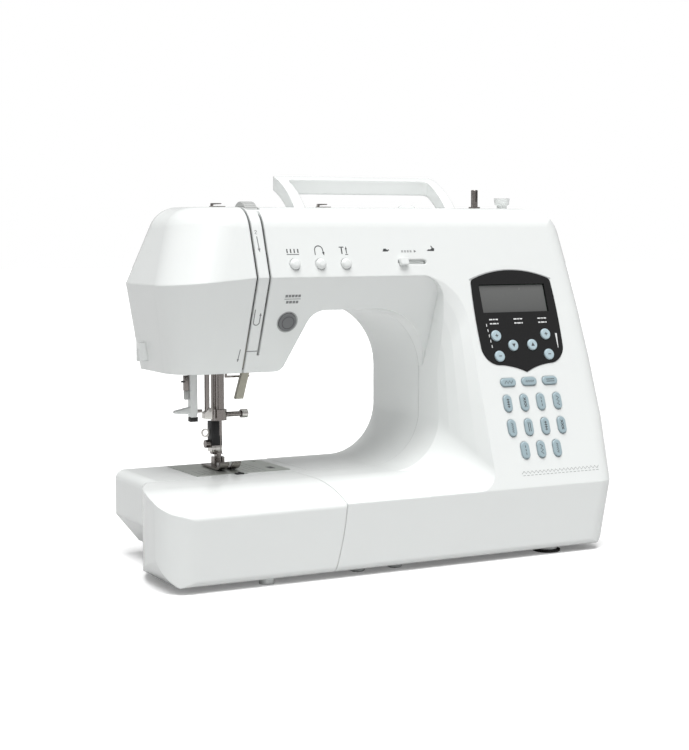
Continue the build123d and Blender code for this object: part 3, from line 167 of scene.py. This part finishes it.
# Moulded plastics, metals and rubber. Colours are linear.
plastics = {
    "white_plastic": {"colour": (0.84, 0.862, 0.852), "rough": 0.24, "coat": 0.35, "grain": 0.05,
                      "edge": 0.0018},
    "black_shield": {"colour": (0.009, 0.009, 0.0095), "rough": 0.22, "coat": 0.15, "grain": 0.02},
    "pale_blue_key": {"colour": (0.46, 0.58, 0.63), "rough": 0.35, "coat": 0.15, "grain": 0.05},
    "blue_grey_key": {"colour": (0.36, 0.46, 0.50), "rough": 0.42, "coat": 0.1, "grain": 0.08},
    "grey_button": {"colour": (0.17, 0.175, 0.18), "rough": 0.38, "coat": 0.1, "grain": 0.08},
    "black_plastic": {"colour": (0.018, 0.018, 0.019), "rough": 0.42, "coat": 0.0, "grain": 0.15},
    "grey_plastic": {"colour": (0.52, 0.53, 0.52), "rough": 0.35, "coat": 0.1, "grain": 0.1},
    "beige_plastic": {"colour": (0.56, 0.54, 0.45), "rough": 0.4, "coat": 0.1, "grain": 0.1},
    "motor_can": {"colour": (0.03, 0.031, 0.034), "rough": 0.35, "coat": 0.3, "grain": 0.1},
    "black_rubber": {"colour": (0.02, 0.02, 0.019), "rough": 0.72, "coat": 0.0, "grain": 0.4},
}
metals = {
    "bright_steel": {"colour": (0.30, 0.275, 0.262), "rough": 0.2, "stretch": (1, 1, 14), "grain": 0.05},
    "satin_steel": {"colour": (0.66, 0.69, 0.65), "rough": 0.42, "stretch": (1, 14, 1), "grain": 0.12},
    "chrome": {"colour": (0.72, 0.70, 0.67), "rough": 0.16, "stretch": (1, 1, 10), "grain": 0.04},
    "cast_frame": {"colour": (0.42, 0.43, 0.44), "rough": 0.5, "stretch": (1, 1, 1), "grain": 0.5},
}


def plasticFinish(name, look):
    finish = Finish(name)
    cloudy = finish.noise(9.0)
    fine = finish.noise(1400.0, 2.0)
    colour = look["colour"]
    finish.set(Base_Color=finish.blend(cloudy, tone(*colour, 0.985), tone(*colour, 1.01)),
               Roughness=look["rough"] - 0.05 + 0.10 * finish.noise(38.0), IOR=1.47,
               Coat_Weight=look["coat"], Coat_Roughness=0.08)
    finish.bump(fine, look["grain"], 0.0002, look.get("edge", 0.0))
    return finish.material


def metalFinish(name, look):
    finish = Finish(name)
    brushed = finish.noise(900.0, 4.0, look["stretch"])
    colour = look["colour"]
    finish.set(Base_Color=finish.blend(finish.noise(60.0), tone(*colour, 0.9), tone(*colour, 1.06)),
               Metallic=1.0, Roughness=look["rough"] - 0.06 + 0.14 * brushed)
    finish.bump(brushed, look["grain"], 0.0003)
    return finish.material


def boardFinish(name):
    finish = Finish(name)
    place = finish.out(finish.node("TexCoord"), "Object")
    tracks = finish.node("TexBrick", {"offset": 0.5}, Vector=place, Scale=160.0,
                         Color1=tone(0.01, 0.10, 0.045), Color2=tone(0.012, 0.13, 0.055),
                         Mortar=tone(0.10, 0.22, 0.10))
    finish.set(Base_Color=finish.out(tracks, "Color"), Roughness=0.4)
    finish.bump(finish.noise(300.0), 0.2, 0.0002)
    return finish.material


def displayFinish(name):
    finish = Finish(name)
    place = finish.out(finish.node("TexCoord"), "Object")
    across = finish.out(finish.node("SeparateXYZ", Vector=place), "Z")
    # painted shading: the display glass is darker towards the bottom and lighter towards the top, where the
    # light from above falls
    paintedShading = finish.blend((across - 0.19) * 26.0, tone(0.085, 0.087, 0.086), tone(0.15, 0.153, 0.15))
    finish.set(Base_Color=paintedShading,
               Roughness=0.2 + 0.1 * finish.noise(40.0), Coat_Weight=0.4)
    finish.bump(finish.noise(500.0), 0.02, 0.0001)
    return finish.material


def inkFinish(name, colour):
    finish = Finish(name)
    finish.set(Base_Color=finish.blend(finish.noise(700.0), tone(*colour, 0.8), tone(*colour, 1.2)),
               Roughness=0.45 + 0.1 * finish.noise(300.0))
    return finish.material


finishes = {name: plasticFinish(name, look) for name, look in plastics.items()}
finishes.update({name: metalFinish(name, look) for name, look in metals.items()})
finishes["circuit_board"] = boardFinish("circuit_board")
inks = {
    "dark": inkFinish("darkInk", (0.06, 0.062, 0.065)),
    "grey": inkFinish("greyInk", (0.22, 0.225, 0.23)),
    "faint": inkFinish("faintInk", (0.42, 0.43, 0.43)),
    "white": inkFinish("whiteInk", (0.75, 0.76, 0.76)),
}
display = displayFinish("display")
for part in frame["record"]["subparts"]:
    node = frame["nodes"][part["node"]]
    node.data.materials.clear()
    node.data.materials.append(finishes[part["material_slot"]])
print("finishes ready")


# Flat faces that carry marks: (x from the machine's left, distance along the face).
def slope(kind):
    if kind == "plate":
        start = Vector((machine["left"], machine["front"], machine["plateTop"]))
        return start, Vector((0, 1, 0)), Vector((0, 0, 1))
    if kind == "panel":
        lean = atan2(machine["armSetback"], machine["crease"] - machine["bedFront"])
        start = Vector((machine["left"], machine["front"], machine["bedFront"]))
        return start, Vector((0, sin(lean), cos(lean))), Vector((0, -cos(lean), sin(lean)))
    lean = atan2(machine["undercut"], machine["crease"] - machine["underSide"])
    start = Vector((machine["left"], machine["front"] + machine["armSetback"], machine["crease"]))
    return start, Vector((0, sin(lean), -cos(lean))), Vector((0, -cos(lean), -sin(lean)))


def onFace(kind, x, s, lift=0.0):
    start, along, normal = slope(kind)
    return start + Vector((x, 0, 0)) + along * s + normal * lift


def finishMesh(name, form, material, body, smooth=False):
    mesh = bpy.data.meshes.new(name)
    bmesh.ops.recalc_face_normals(form, faces=form.faces)
    form.to_mesh(mesh)
    form.free()
    for face in mesh.polygons:
        face.use_smooth = smooth
    if smooth:
        mesh.set_sharp_from_angle(angle=radians(38))
    piece = bpy.data.objects.new(name, mesh)
    bpy.context.scene.collection.objects.link(piece)
    mesh.materials.append(material)
    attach(piece, body)
    return piece


def ribbonPoints(line, width, closed=False):
    sides = ([], [])
    count = len(line)
    for i, point in enumerate(line):
        before = line[i - 1] if i or closed else point
        after = line[(i + 1) % count] if i < count - 1 or closed else point
        way = Vector((after[0] - before[0], after[1] - before[1]))
        way.normalize()
        across = Vector((-way.y, way.x)) * width / 2
        sides[0].append(Vector(point) + across)
        sides[1].append(Vector(point) - across)
    return sides


def addRibbon(form, line, width, place, lift, closed=False):
    # a closed flat strip, thinner than paper
    left, right = ribbonPoints(line, width, closed)
    rings = []
    for a, b in zip(left, right):
        corners = ((a, lift), (b, lift), (b, 0.0), (a, 0.0))
        rings.append([form.verts.new(place(p.x, p.y, h)) for p, h in corners])
    pairs = list(zip(rings, rings[1:]))
    if closed:
        pairs.append((rings[-1], rings[0]))
    for first, second in pairs:
        for i in range(4):
            form.faces.new((first[i], first[(i + 1) % 4], second[(i + 1) % 4], second[i]))
    if not closed:
        form.faces.new(rings[0])
        form.faces.new(rings[-1][::-1])


def addPatch(form, outline, place, lift):
    top = [form.verts.new(place(x, y, lift)) for x, y in outline]
    low = [form.verts.new(place(x, y, 0.0)) for x, y in outline]
    form.faces.new(top)
    form.faces.new(low[::-1])
    for i in range(len(top)):
        form.faces.new((top[i - 1], low[i - 1], low[i], top[i]))


def arc(x, y, radius, start, end, steps=12):
    return [(x + radius * cos(radians(start + (end - start) * i / steps)),
             y + radius * sin(radians(start + (end - start) * i / steps))) for i in range(steps + 1)]


def marks(name, body, kind, material, shapes, lift=0.00008, base=0.0):
    # shapes: ("line", points, width), ("ring", points, width) or ("patch", points), in metres on the face
    form = bmesh.new()
    for shape in shapes:
        def place(x, y, h):
            return onFace(kind, x, y, base + h)
        if shape[0] == "patch":
            addPatch(form, shape[1], place, lift)
        else:
            addRibbon(form, shape[1], shape[2], place, lift, shape[0] == "ring")
    piece = finishMesh(name, form, material, body)
    return piece


def moved(points, x, y, scale=mm, turn=0.0):
    c, s = cos(radians(turn)), sin(radians(turn))
    return [(x + (px * c - py * s) * scale, y + (px * s + py * c) * scale) for px, py in points]


def at(x, y, z):
    # millimetres from the machine's left, its front and the table
    return Vector((machine["left"] + x * mm, machine["front"] + y * mm, z * mm))


def turned(name, profile, foot, axis, slotName, body, sides=36):
    # profile: (radius, height) along the axis, in millimetres
    form = bmesh.new()
    turn = Vector(axis).to_track_quat("Z", "Y")
    rings = []
    for radius, height in profile:
        ring = []
        for i in range(sides):
            angle = 2 * pi * i / sides
            spot = Vector((radius * cos(angle) * mm, radius * sin(angle) * mm, height * mm))
            ring.append(form.verts.new(foot + turn @ spot))
        rings.append(ring)
    for first, second in zip(rings, rings[1:]):
        for i in range(sides):
            form.faces.new((first[i - 1], first[i], second[i], second[i - 1]))
    form.faces.new(rings[0][::-1])
    form.faces.new(rings[-1])
    piece = finishMesh(name, form, finishes[slotName], body, True)
    return piece


def slab(name, outline, low, high, axis, slotName, body, bevel=0.5):
    # an outline in millimetres carried from low to high along one axis, with softened edges
    places = {"y": lambda u, v, h: at(u, h, v), "z": lambda u, v, h: at(u, v, h)}
    form = bmesh.new()
    rings = [[form.verts.new(places[axis](u, v, h)) for u, v in outline] for h in (low, high)]
    form.faces.new(rings[0][::-1])
    form.faces.new(rings[1])
    for i in range(len(outline)):
        form.faces.new((rings[0][i - 1], rings[0][i], rings[1][i], rings[1][i - 1]))
    bmesh.ops.bevel(form, geom=form.edges[:], offset=bevel * mm, segments=2, affect="EDGES", profile=0.5)
    piece = finishMesh(name, form, finishes[slotName], body, True)
    return piece


def oblong(x0, y0, x1, y1):
    return [(x0, y0), (x1, y0), (x1, y1), (x0, y1)]


# Display glass, the signs on the shield and a painted shade line along the recess edge above it.
shield = {"middle": 339.0, "window": (305.5, 372.0, 150.4, 175.0), "labelS": 142.6,
          "labelX": (-24.5, 0.0, 24.5), "lift": 0.6 * mm}


def dashes(x, s, widths, gap, thick):
    # a row of short strokes, centred on x
    total = sum(widths) + gap * (len(widths) - 1)
    start = x - total / 2
    rows = []
    for width in widths:
        rows.append(("line", [(start * mm, s * mm), ((start + width) * mm, s * mm)], thick * mm))
        start += width + gap
    return rows


def makeDisplay():
    x0, x1, s0, s1 = shield["window"]
    glass = moved(oblong(x0 + 0.4, s0 + 0.4, x1 - 0.4, s1 - 0.4), 0, 0)
    marks("displayGlass", "body", "panel", display, [("patch", glass)], 0.85 * mm, -1.75 * mm)
    signs = []
    for dx in shield["labelX"]:
        signs += dashes(shield["middle"] + dx, shield["labelS"] + 1.7, (3.2, 1.6, 2.6), 0.7, 1.1)
        signs += dashes(shield["middle"] + dx, shield["labelS"] - 1.9, (2.2, 3.6, 1.4), 0.7, 1.1)
    signs += [("patch", moved([(-0.2, 0), (0.3, 0), (1.3, 13.0), (-0.6, 13.0)], 374.8 * mm, 117.6 * mm))]
    for i in range(5):
        signs += dashes(306.6 + 0.45 * i, 139.5 - 4.6 * i, (0.7,), 0, 2.4)
    marks("shieldSigns", "body", "panel", inks["white"], signs, base=shield["lift"])
    # painted shade: a grey line along the recess edge above the shield, standing in for the shade that falls
    # at that edge
    x, s = shield["middle"], 187.9
    edgeShade = [(x + 41.4 * (i / 12 - 1), s - 8.4 * (i / 12 - 1) ** 2) for i in range(25)]
    marks("shieldEdgeShade", "body", "panel", inks["faint"], [("line", moved(edgeShade, 0, 0), 1.3 * mm)], base=0.02 * mm)


# Signs on the keys: plain stitch patterns.
keys = {"round": {1: (-25, 130.1), 2: (-25, 112.3), 3: (-9.6, 121.2),
                  4: (9.6, 121.2), 5: (25, 130.1), 6: (25, 112.3)},
        "wide": (89.7, (-21, 0, 21)), "tall": ((71.8, (-25, -8.3, 8.3, 25)), (50.8, (-25, -8.3, 8.3, 25)),
                                              (31.4, (-16, 0, 16))),
        "roundTop": 2.0 * mm, "longTop": 1.4 * mm, "stroke": 0.55}


def zigzag(turns, wide, tall):
    return [((-wide if i % 2 else wide) / 2, tall * (i / turns - 0.5)) for i in range(turns + 1)]


def stitchSign(number):
    tall = 8.0
    kinds = {
        0: [[(0, -tall / 2 + i * 3.0), (0, -tall / 2 + i * 3.0 + 2.0)] for i in range(3)],
        1: [zigzag(5, 2.4, tall)],
        2: [zigzag(9, 1.6, tall)],
        3: [[(-0.9, -tall / 2), (-0.9, tall / 2)], [(0.9, -tall / 2), (0.9, tall / 2)]],
        4: [[(0, -tall / 2), (0, tall / 2)]] + [[(-1.3, y), (1.3, y)] for y in (-3, -1, 1, 3)],
        5: [[(-1.2 * way, y - 1.2), (1.2 * way, y + 1.2)] for way in (1, -1) for y in (-2.8, 0, 2.8)],
    }
    return kinds[number % len(kinds)]


def makeKeySigns():
    wide, stroke = keys["wide"], keys["stroke"] * mm
    places = [(dx, wide[0], 90) for dx in wide[1]]
    places += [(dx, s, 0) for s, row in keys["tall"] for dx in row]
    for number, (dx, s, turn) in enumerate(places, 1):
        lines = [("line", moved(line, (shield["middle"] + dx) * mm, s * mm, mm, turn), stroke)
                 for line in stitchSign(number)]
        key = "stitch_key_%02d" % number
        marks("sign_" + key, key, "panel", inks["dark"], lines, base=keys["longTop"])
    signs = {1: [[(-1.4, 0), (1.4, 0)], [(0, -1.4), (0, 1.4)]], 2: [[(-1.4, 0), (1.4, 0)]],
             5: [[(-1.4, 0), (1.4, 0)], [(0, -1.4), (0, 1.4)]], 6: [[(-1.4, 0), (1.4, 0)]]}
    for number, (dx, s) in keys["round"].items():
        x = (shield["middle"] + dx) * mm
        if number in signs:
            lines = [("line", moved(line, x, s * mm), 0.7 * mm) for line in signs[number]]
        else:
            up = 1 if number == 4 else -1
            lines = [("patch", moved([(-1.7, -1.3 * up), (1.7, -1.3 * up), (0, 1.8 * up)], x, s * mm))]
        key = "round_key_%d" % number
        marks("sign_" + key, key, "panel", inks["dark"], lines, base=keys["roundTop"])


# Printed signs on the arm, on the thread strip and beside the buttons, and a painted shadow ring round the
# start button.
arm = {"slow": 136.6, "reverse": 160.2, "needle": 182.6, "tortoise": 221.5, "speed": 243.0, "hare": 265.2,
       "s": 206.2, "stripX": 107.2, "startLabel": (136.5, 18.5), "startButton": (135.2, 38.6)}


def headed(points, size):
    # a line with an arrowhead at its last point
    tip, before = Vector(points[-1]), Vector(points[-2])
    way = (tip - before).normalized()
    across = Vector((-way.y, way.x)) * size * 0.45
    base = tip - way * size * 0.2
    head = [tuple(base + across), tuple(base - across), tuple(tip + way * size)]
    return [("line", points, 0.75 * mm), ("patch", head)]


def makeArmSigns():
    s = arm["s"] * mm
    signs = []
    for i in range(4):
        x = (arm["slow"] - 4.8 + 3.2 * i) * mm
        signs += [("line", [(x, s - 1.7 * mm), (x, s + 1.7 * mm)], 1.0 * mm)]
    signs += dashes(arm["slow"], arm["s"] - 2.9, (11,), 0, 0.5)
    x = arm["reverse"] * mm
    turn = [(x - 3.6 * mm, s - 3.4 * mm)] + arc(x, s + 0.6 * mm, 3.6 * mm, 180, 0)
    turn += [(x + 3.9 * mm, s - 1.6 * mm)]
    signs += headed(turn, 2.4 * mm)
    x = arm["needle"] * mm
    signs += [("line", [(x - 3.8 * mm, s + 3.0 * mm), (x + 0.6 * mm, s + 3.0 * mm)], 0.7 * mm),
              ("line", [(x - 1.6 * mm, s + 2.6 * mm), (x - 1.6 * mm, s - 2.8 * mm)], 1.0 * mm)]
    signs += headed([(x + 2.6 * mm, s - 2.4 * mm), (x + 2.6 * mm, s + 1.6 * mm)], 2.0 * mm)
    signs += dashes(arm["needle"] + 2.6, arm["s"] - 3.2, (2.6,), 0, 0.6)
    x = arm["tortoise"] * mm
    tortoise = [(-2.6, -1.0), (2.2, -1.0), (3.8, 0.2), (3.4, 0.9), (2.0, 0.2), (0.6, 1.5), (-1.4, 1.4)]
    signs += [("patch", moved(tortoise, x, s))]
    x = arm["hare"] * mm
    hare = [(-4.0, -0.8), (3.0, -1.0), (3.6, 1.2), (1.8, 2.0), (-0.4, 0.5), (-2.6, 0.5)]
    signs += [("patch", moved(hare, x, s)),
              ("patch", moved([(1.0, 1.8), (0.2, 3.6), (0.9, 3.7), (2.2, 2.0)], x, s))]
    marks("armSigns", "body", "panel", inks["dark"], signs)
    faint = dashes(arm["speed"] - 1.5, arm["s"] - 1.0, (1.8, 1.8, 1.8, 1.8), 0.9, 1.9)
    marks("speedSign", "body", "panel", inks["faint"], faint)
    x = (arm["speed"] + 6.6) * mm
    marks("speedArrow", "body", "panel", inks["grey"],
          [("patch", moved([(-1.0, -1.2), (1.3, 0), (-1.0, 1.2)], x, s - 1.0 * mm))])
    x = arm["stripX"] * mm
    two = [(-0.9, 0.9), (-0.3, 1.5), (0.6, 1.3), (0.7, 0.5), (-0.9, -1.4), (0.9, -1.4)]
    two = moved(two, x - 0.3 * mm, 222 * mm)
    marks("stripArrow", "body", "panel", inks["grey"],
          headed([(x, 218.5 * mm), (x + 0.5 * mm, 208 * mm)], 2.6 * mm) + [("line", two, 0.45 * mm)])
    bend = [(x - 2.0 * mm, 27 * mm), (x - 2.0 * mm, 38 * mm)] + arc(x + 0.6 * mm, 38 * mm, 2.6 * mm, 180, 0)
    bend += [(x + 3.2 * mm, 32 * mm)]
    marks("stripTurn", "body", "undercut", inks["grey"], headed(bend, 2.2 * mm))
    cover = headed([(97.6 * mm, 61.5 * mm), (96.8 * mm, 70.5 * mm)], 2.2 * mm)
    marks("coverArrow", "body", "undercut", inks["grey"], cover)
    marks("stripEnd", "body", "undercut", inks["grey"], dashes(107.9, 63.5, (9.4,), 0, 0.7))
    x, s = arm["startLabel"]
    rows = dashes(x, s - 2.6, (2.2, 2.2, 2.4, 2.2, 2.2), 0.6, 2.2) + dashes(x, s, (14.4,), 0, 0.5)
    rows += dashes(x, s + 2.7, (2.2, 2.4, 2.2, 2.2), 0.6, 2.2)
    marks("startSign", "body", "undercut", inks["grey"], rows)
    x, s = arm["startButton"]
    ring = [arc(x * mm, s * mm, r * mm, 0, 360, 40)[:-1] for r in (5.2, 8.7)]
    marks("startRing", "start_stop_button", "undercut", inks["dark"], [("ring", ring[0], 0.5 * mm)],
          base=1.6 * mm)
    # painted shadow: a grey ring on the housing round the start button, where shade falls at its base
    marks("startShadowRing", "body", "undercut", inks["faint"], [("ring", ring[1], 0.9 * mm)])
    seam = [(316 + 2.0 * i, 13.0 + (1.1 if i % 2 else -1.1)) for i in range(40)]
    marks("stitchLine", "body", "panel", inks["grey"],
          [("line", moved(seam, 0, 0), 0.35 * mm)] + dashes(355, 10.4, (2.4,) * 20, 1.5, 0.35))


# Feet and the small pieces on the top.
up = (0, 0, 1)
feet = {"pads": ((170, 20), (204, 20)), "discs": ((350, 17), (385, 160), (190, 160)),
        "padForm": [(4.8, 0), (5.8, 0.7), (6.0, 5.0)],
        "rubberForm": [(10.2, 0), (11.6, 0.4), (11.8, 1.9), (10.8, 2.3)],
        "stemForm": [(8.8, 2.2), (9.6, 5.0)]}
topPieces = {"guides": ((88, 104), (183, 103)), "dome": (287, 145), "z": 288}


def makeFeet():
    for number, (x, y) in enumerate(feet["pads"]):
        pad = turned("footPad_%d" % number, feet["padForm"], at(x, y, 0), up, "white_plastic", "body")
        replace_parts(pad, "rubber_feet")
    for number, (x, y) in enumerate(feet["discs"]):
        turned("footRubber_%d" % number, feet["rubberForm"], at(x, y, 0), up, "black_rubber", "body")
        turned("footStem_%d" % number, feet["stemForm"], at(x, y, 0), up, "white_plastic", "body")


def makeTop():
    x, y = topPieces["dome"]
    dome = [(7.6, 0), (7.5, 1.0), (6.6, 2.2), (4.6, 2.9), (1.2, 3.15)]
    z = topPieces["z"]
    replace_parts(turned("spoolRest", dome, at(x, y, z), up, "white_plastic", "body"), "thread_guides")
    for number, (x, y) in enumerate(topPieces["guides"]):
        hook = [(-5.6, 0), (-4.6, 0), (-4.2, 2.0), (2.6, 2.2), (3.2, 3.0), (-5.4, 3.0)]
        slab("threadGuide_%d" % number, [(x + u, z + v) for u, v in hook], y - 1.6, y + 1.6, "y",
             "bright_steel", "body", 0.2)
        slab("guideFoot_%d" % number, oblong(x - 6, y - 2.6, x + 6, y + 2.6), z, z + 0.7, "z",
             "bright_steel", "body", 0.15)


# Pieces round the needle: outline, span along the axis, axis, finish, body and edge, in millimetres.
x, y = machine["presser"]
threaderPieces = {
    "threaderPost": ([(75.6, 176), (82.8, 176), (82.6, 119), (82.0, 115.6), (76.6, 115.6)],
                     134.6, 141.2, "y", "white_plastic", "needle_threader", 0.8),
    "threaderWing": ([(78, 124.6), (63.4, 121.8), (62.4, 119.6), (78, 118.4)],
                     135.6, 140.4, "y", "white_plastic", "needle_threader", 0.7),
    "threaderFoot": (oblong(76.4, 112.0, 83.2, 116.0), 135.0, 140.8,
                     "y", "black_plastic", "needle_threader", 0.5),
    "threaderLink": (oblong(82.0, 119.2, 87.8, 121.8), 136.8, 139.4,
                     "y", "bright_steel", "needle_threader", 0.3),
    "threaderClip": (oblong(72.0, 138.0, 75.8, 150.5), 136.2, 140.2,
                     "y", "bright_steel", "needle_threader", 0.3),
    "clipPad": (oblong(72.4, 130.6, 75.8, 137.8), 136.2, 140.2, "y", "grey_plastic", "needle_threader", 0.4),
}
headPieces = {
    "rodClamp": ([(88.8, 114.0), (96.0, 113.0), (96.0, 122.6), (93.0, 123.4), (91.6, 120.0), (88.8, 119.4)],
                 135.4, 140.6, "y", "chrome", "body", 0.4),
    "headPlate": (oblong(86, 153.3, 126, 155.2), 127.4, 131.0, "y", "black_plastic", "body", 0.3),
    "guideArm": ([(111.4, 157), (113.0, 157), (113.0, 147.9), (134.0, 147.9), (134.0, 146.4), (111.4, 146.4)],
                 143.6, 145.0, "y", "bright_steel", "body", 0.3),
    "shankSleeve": (oblong(x - 4.75, y - 4.85, x + 4.75, y + 4.85), 89.6, 110.0, "z", "black_plastic",
                    "presser_bar", 0.6),
    "shankBlock": (oblong(x - 4.7, y - 4.8, x + 4.7, y + 4.8), 84.4, 89.5, "z", "chrome", "presser_bar", 0.4),
}
clampRing = {"radius": 3.0, "width": 1.2, "depth": 1.6, "x": x - 8.6, "y": y - 1, "z": 100.4}


def makeNeedleArea():
    made = {name: slab(name, *facts) for name, facts in threaderPieces.items()}
    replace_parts(made["threaderPost"], "needle_threader")
    right = (1, 0, 0)
    turned("clipPin", [(0.7, 0), (0.8, 3.4)], at(69.6, 138, 145.5), right, "black_plastic",
           "needle_threader", 16)
    turned("guideRod", [(2.0, 0), (2.1, 0.3), (2.1, 40)], at(92.4, 138, 118), up, "bright_steel", "body", 24)
    for name, facts in headPieces.items():
        slab(name, *facts)
    ring = clampRing
    circle = [(ring["x"] + u, ring["z"] + v) for u, v in arc(0, 0, ring["radius"], 0, 360, 24)[:-1]]
    form = bmesh.new()
    addRibbon(form, circle, ring["width"], lambda u, v, h: at(u, ring["y"] + h, v), ring["depth"], True)
    lever = finishMesh("clampLever", form, finishes["chrome"], "presser_bar", True)
    knob = [(3.3, 0), (3.7, 0.3), (3.7, 5.2), (3.2, 5.6)]
    turned("clampKnob", knob, at(123.0, 138, 116.5), right, "chrome", "needle_bar", 28)


def makePlateLines():
    needle = machine["needle"]
    lines = []
    for side in (-1, 1):
        for step in (13, 18, 23, 28):
            x = (needle[0] + side * step) * mm
            lines += [("line", [(x, 109.5 * mm), (x, 133 * mm)], 0.35 * mm)]
    marks("plateLines", "body", "plate", inks["grey"], lines, 0.05 * mm)
    # painted shade: a dark patch on the plate stands in for the shade down in a slot
    slotShade = moved(oblong(140.4, 118, 145.6, 128), 0, 0)
    marks("plateSlotShade", "body", "plate", inks["dark"], [("patch", slotShade)], 0.05 * mm)


makeDisplay()
makeKeySigns()
makeArmSigns()
print("signs ready")
makeFeet()
makeTop()
makeNeedleArea()
makePlateLines()
print("small pieces ready")


# Camera and studio.
view = {"place": (-0.6572, -1.1955, 0.272), "towards": (0.4707, 0.8778, -0.0898), "lens": 78.8}


def makeCamera():
    data = bpy.data.cameras.new("camera")
    data.lens = view["lens"]
    data.sensor_width = 36
    camera = bpy.data.objects.new("camera", data)
    bpy.context.scene.collection.objects.link(camera)
    camera.location = view["place"]
    camera.rotation_mode = "QUATERNION"
    camera.rotation_quaternion = Vector(view["towards"]).to_track_quat("-Z", "Y")
    bpy.context.scene.camera = camera


studio = {
    "sky": 0.39, "backdrop": 1.0, "sun": 3.25, "sunAngle": 45, "sunTowards": (0.08, 0.2, -0.976),
    "box": (-1.0, -1.3, 1.5), "boxSize": 0.8, "boxPower": 3.0, "floorLift": 0.16,
}


def lamp(name, kind, place, towards, settings):
    data = bpy.data.lights.new(name, kind)
    for key, value in settings.items():
        setattr(data, key, value)
    made = bpy.data.objects.new(name, data)
    bpy.context.scene.collection.objects.link(made)
    made.location = place
    made.rotation_mode = "QUATERNION"
    made.rotation_quaternion = Vector(towards).to_track_quat("-Z", "Y")


def makeSky():
    world = bpy.data.worlds.new("studio")
    world.use_nodes = True
    tree = world.node_tree
    seen = tree.nodes["Background"]
    seen.inputs["Color"].default_value = (1, 1, 1, 1)
    rays = tree.nodes.new("ShaderNodeLightPath")
    direct = Socket(tree, rays.outputs["Is Camera Ray"])
    strength = direct * (studio["backdrop"] - studio["sky"]) + studio["sky"]
    tree.links.new(strength.socket, seen.inputs["Strength"])
    bpy.context.scene.world = world
    bpy.context.scene.view_settings.view_transform = "Standard"


def makeFloor():
    form = bmesh.new()
    bmesh.ops.create_grid(form, x_segments=24, y_segments=24, size=9.0)
    mesh = bpy.data.meshes.new("floor")
    form.to_mesh(mesh)
    form.free()
    floor = bpy.data.objects.new("floor", mesh)
    bpy.context.scene.collection.objects.link(floor)
    look = Finish("floorPaper")
    direct = look.out(look.node("LightPath"), "Is Camera Ray")
    paper = look.blend(look.noise(3.0), tone(0.90, 0.90, 0.90), tone(0.93, 0.93, 0.93))
    look.set(Base_Color=look.blend(direct, tone(0.52, 0.52, 0.52), paper), Roughness=0.9,
             Emission_Color=look.blend(direct, tone(0, 0, 0), tone(1, 1, 1, studio["floorLift"])),
             Emission_Strength=1.0)
    mesh.materials.append(look.material)


def makeStudio():
    makeSky()
    lamp("sun", "SUN", (0, 0, 2), studio["sunTowards"],
         {"energy": studio["sun"], "angle": radians(studio["sunAngle"])})
    lamp("softBox", "AREA", studio["box"], Vector((0, 0, 0.15)) - Vector(studio["box"]),
         {"size": studio["boxSize"], "energy": studio["boxPower"]})
    makeFloor()


makeCamera()
makeStudio()
print("camera and studio ready")
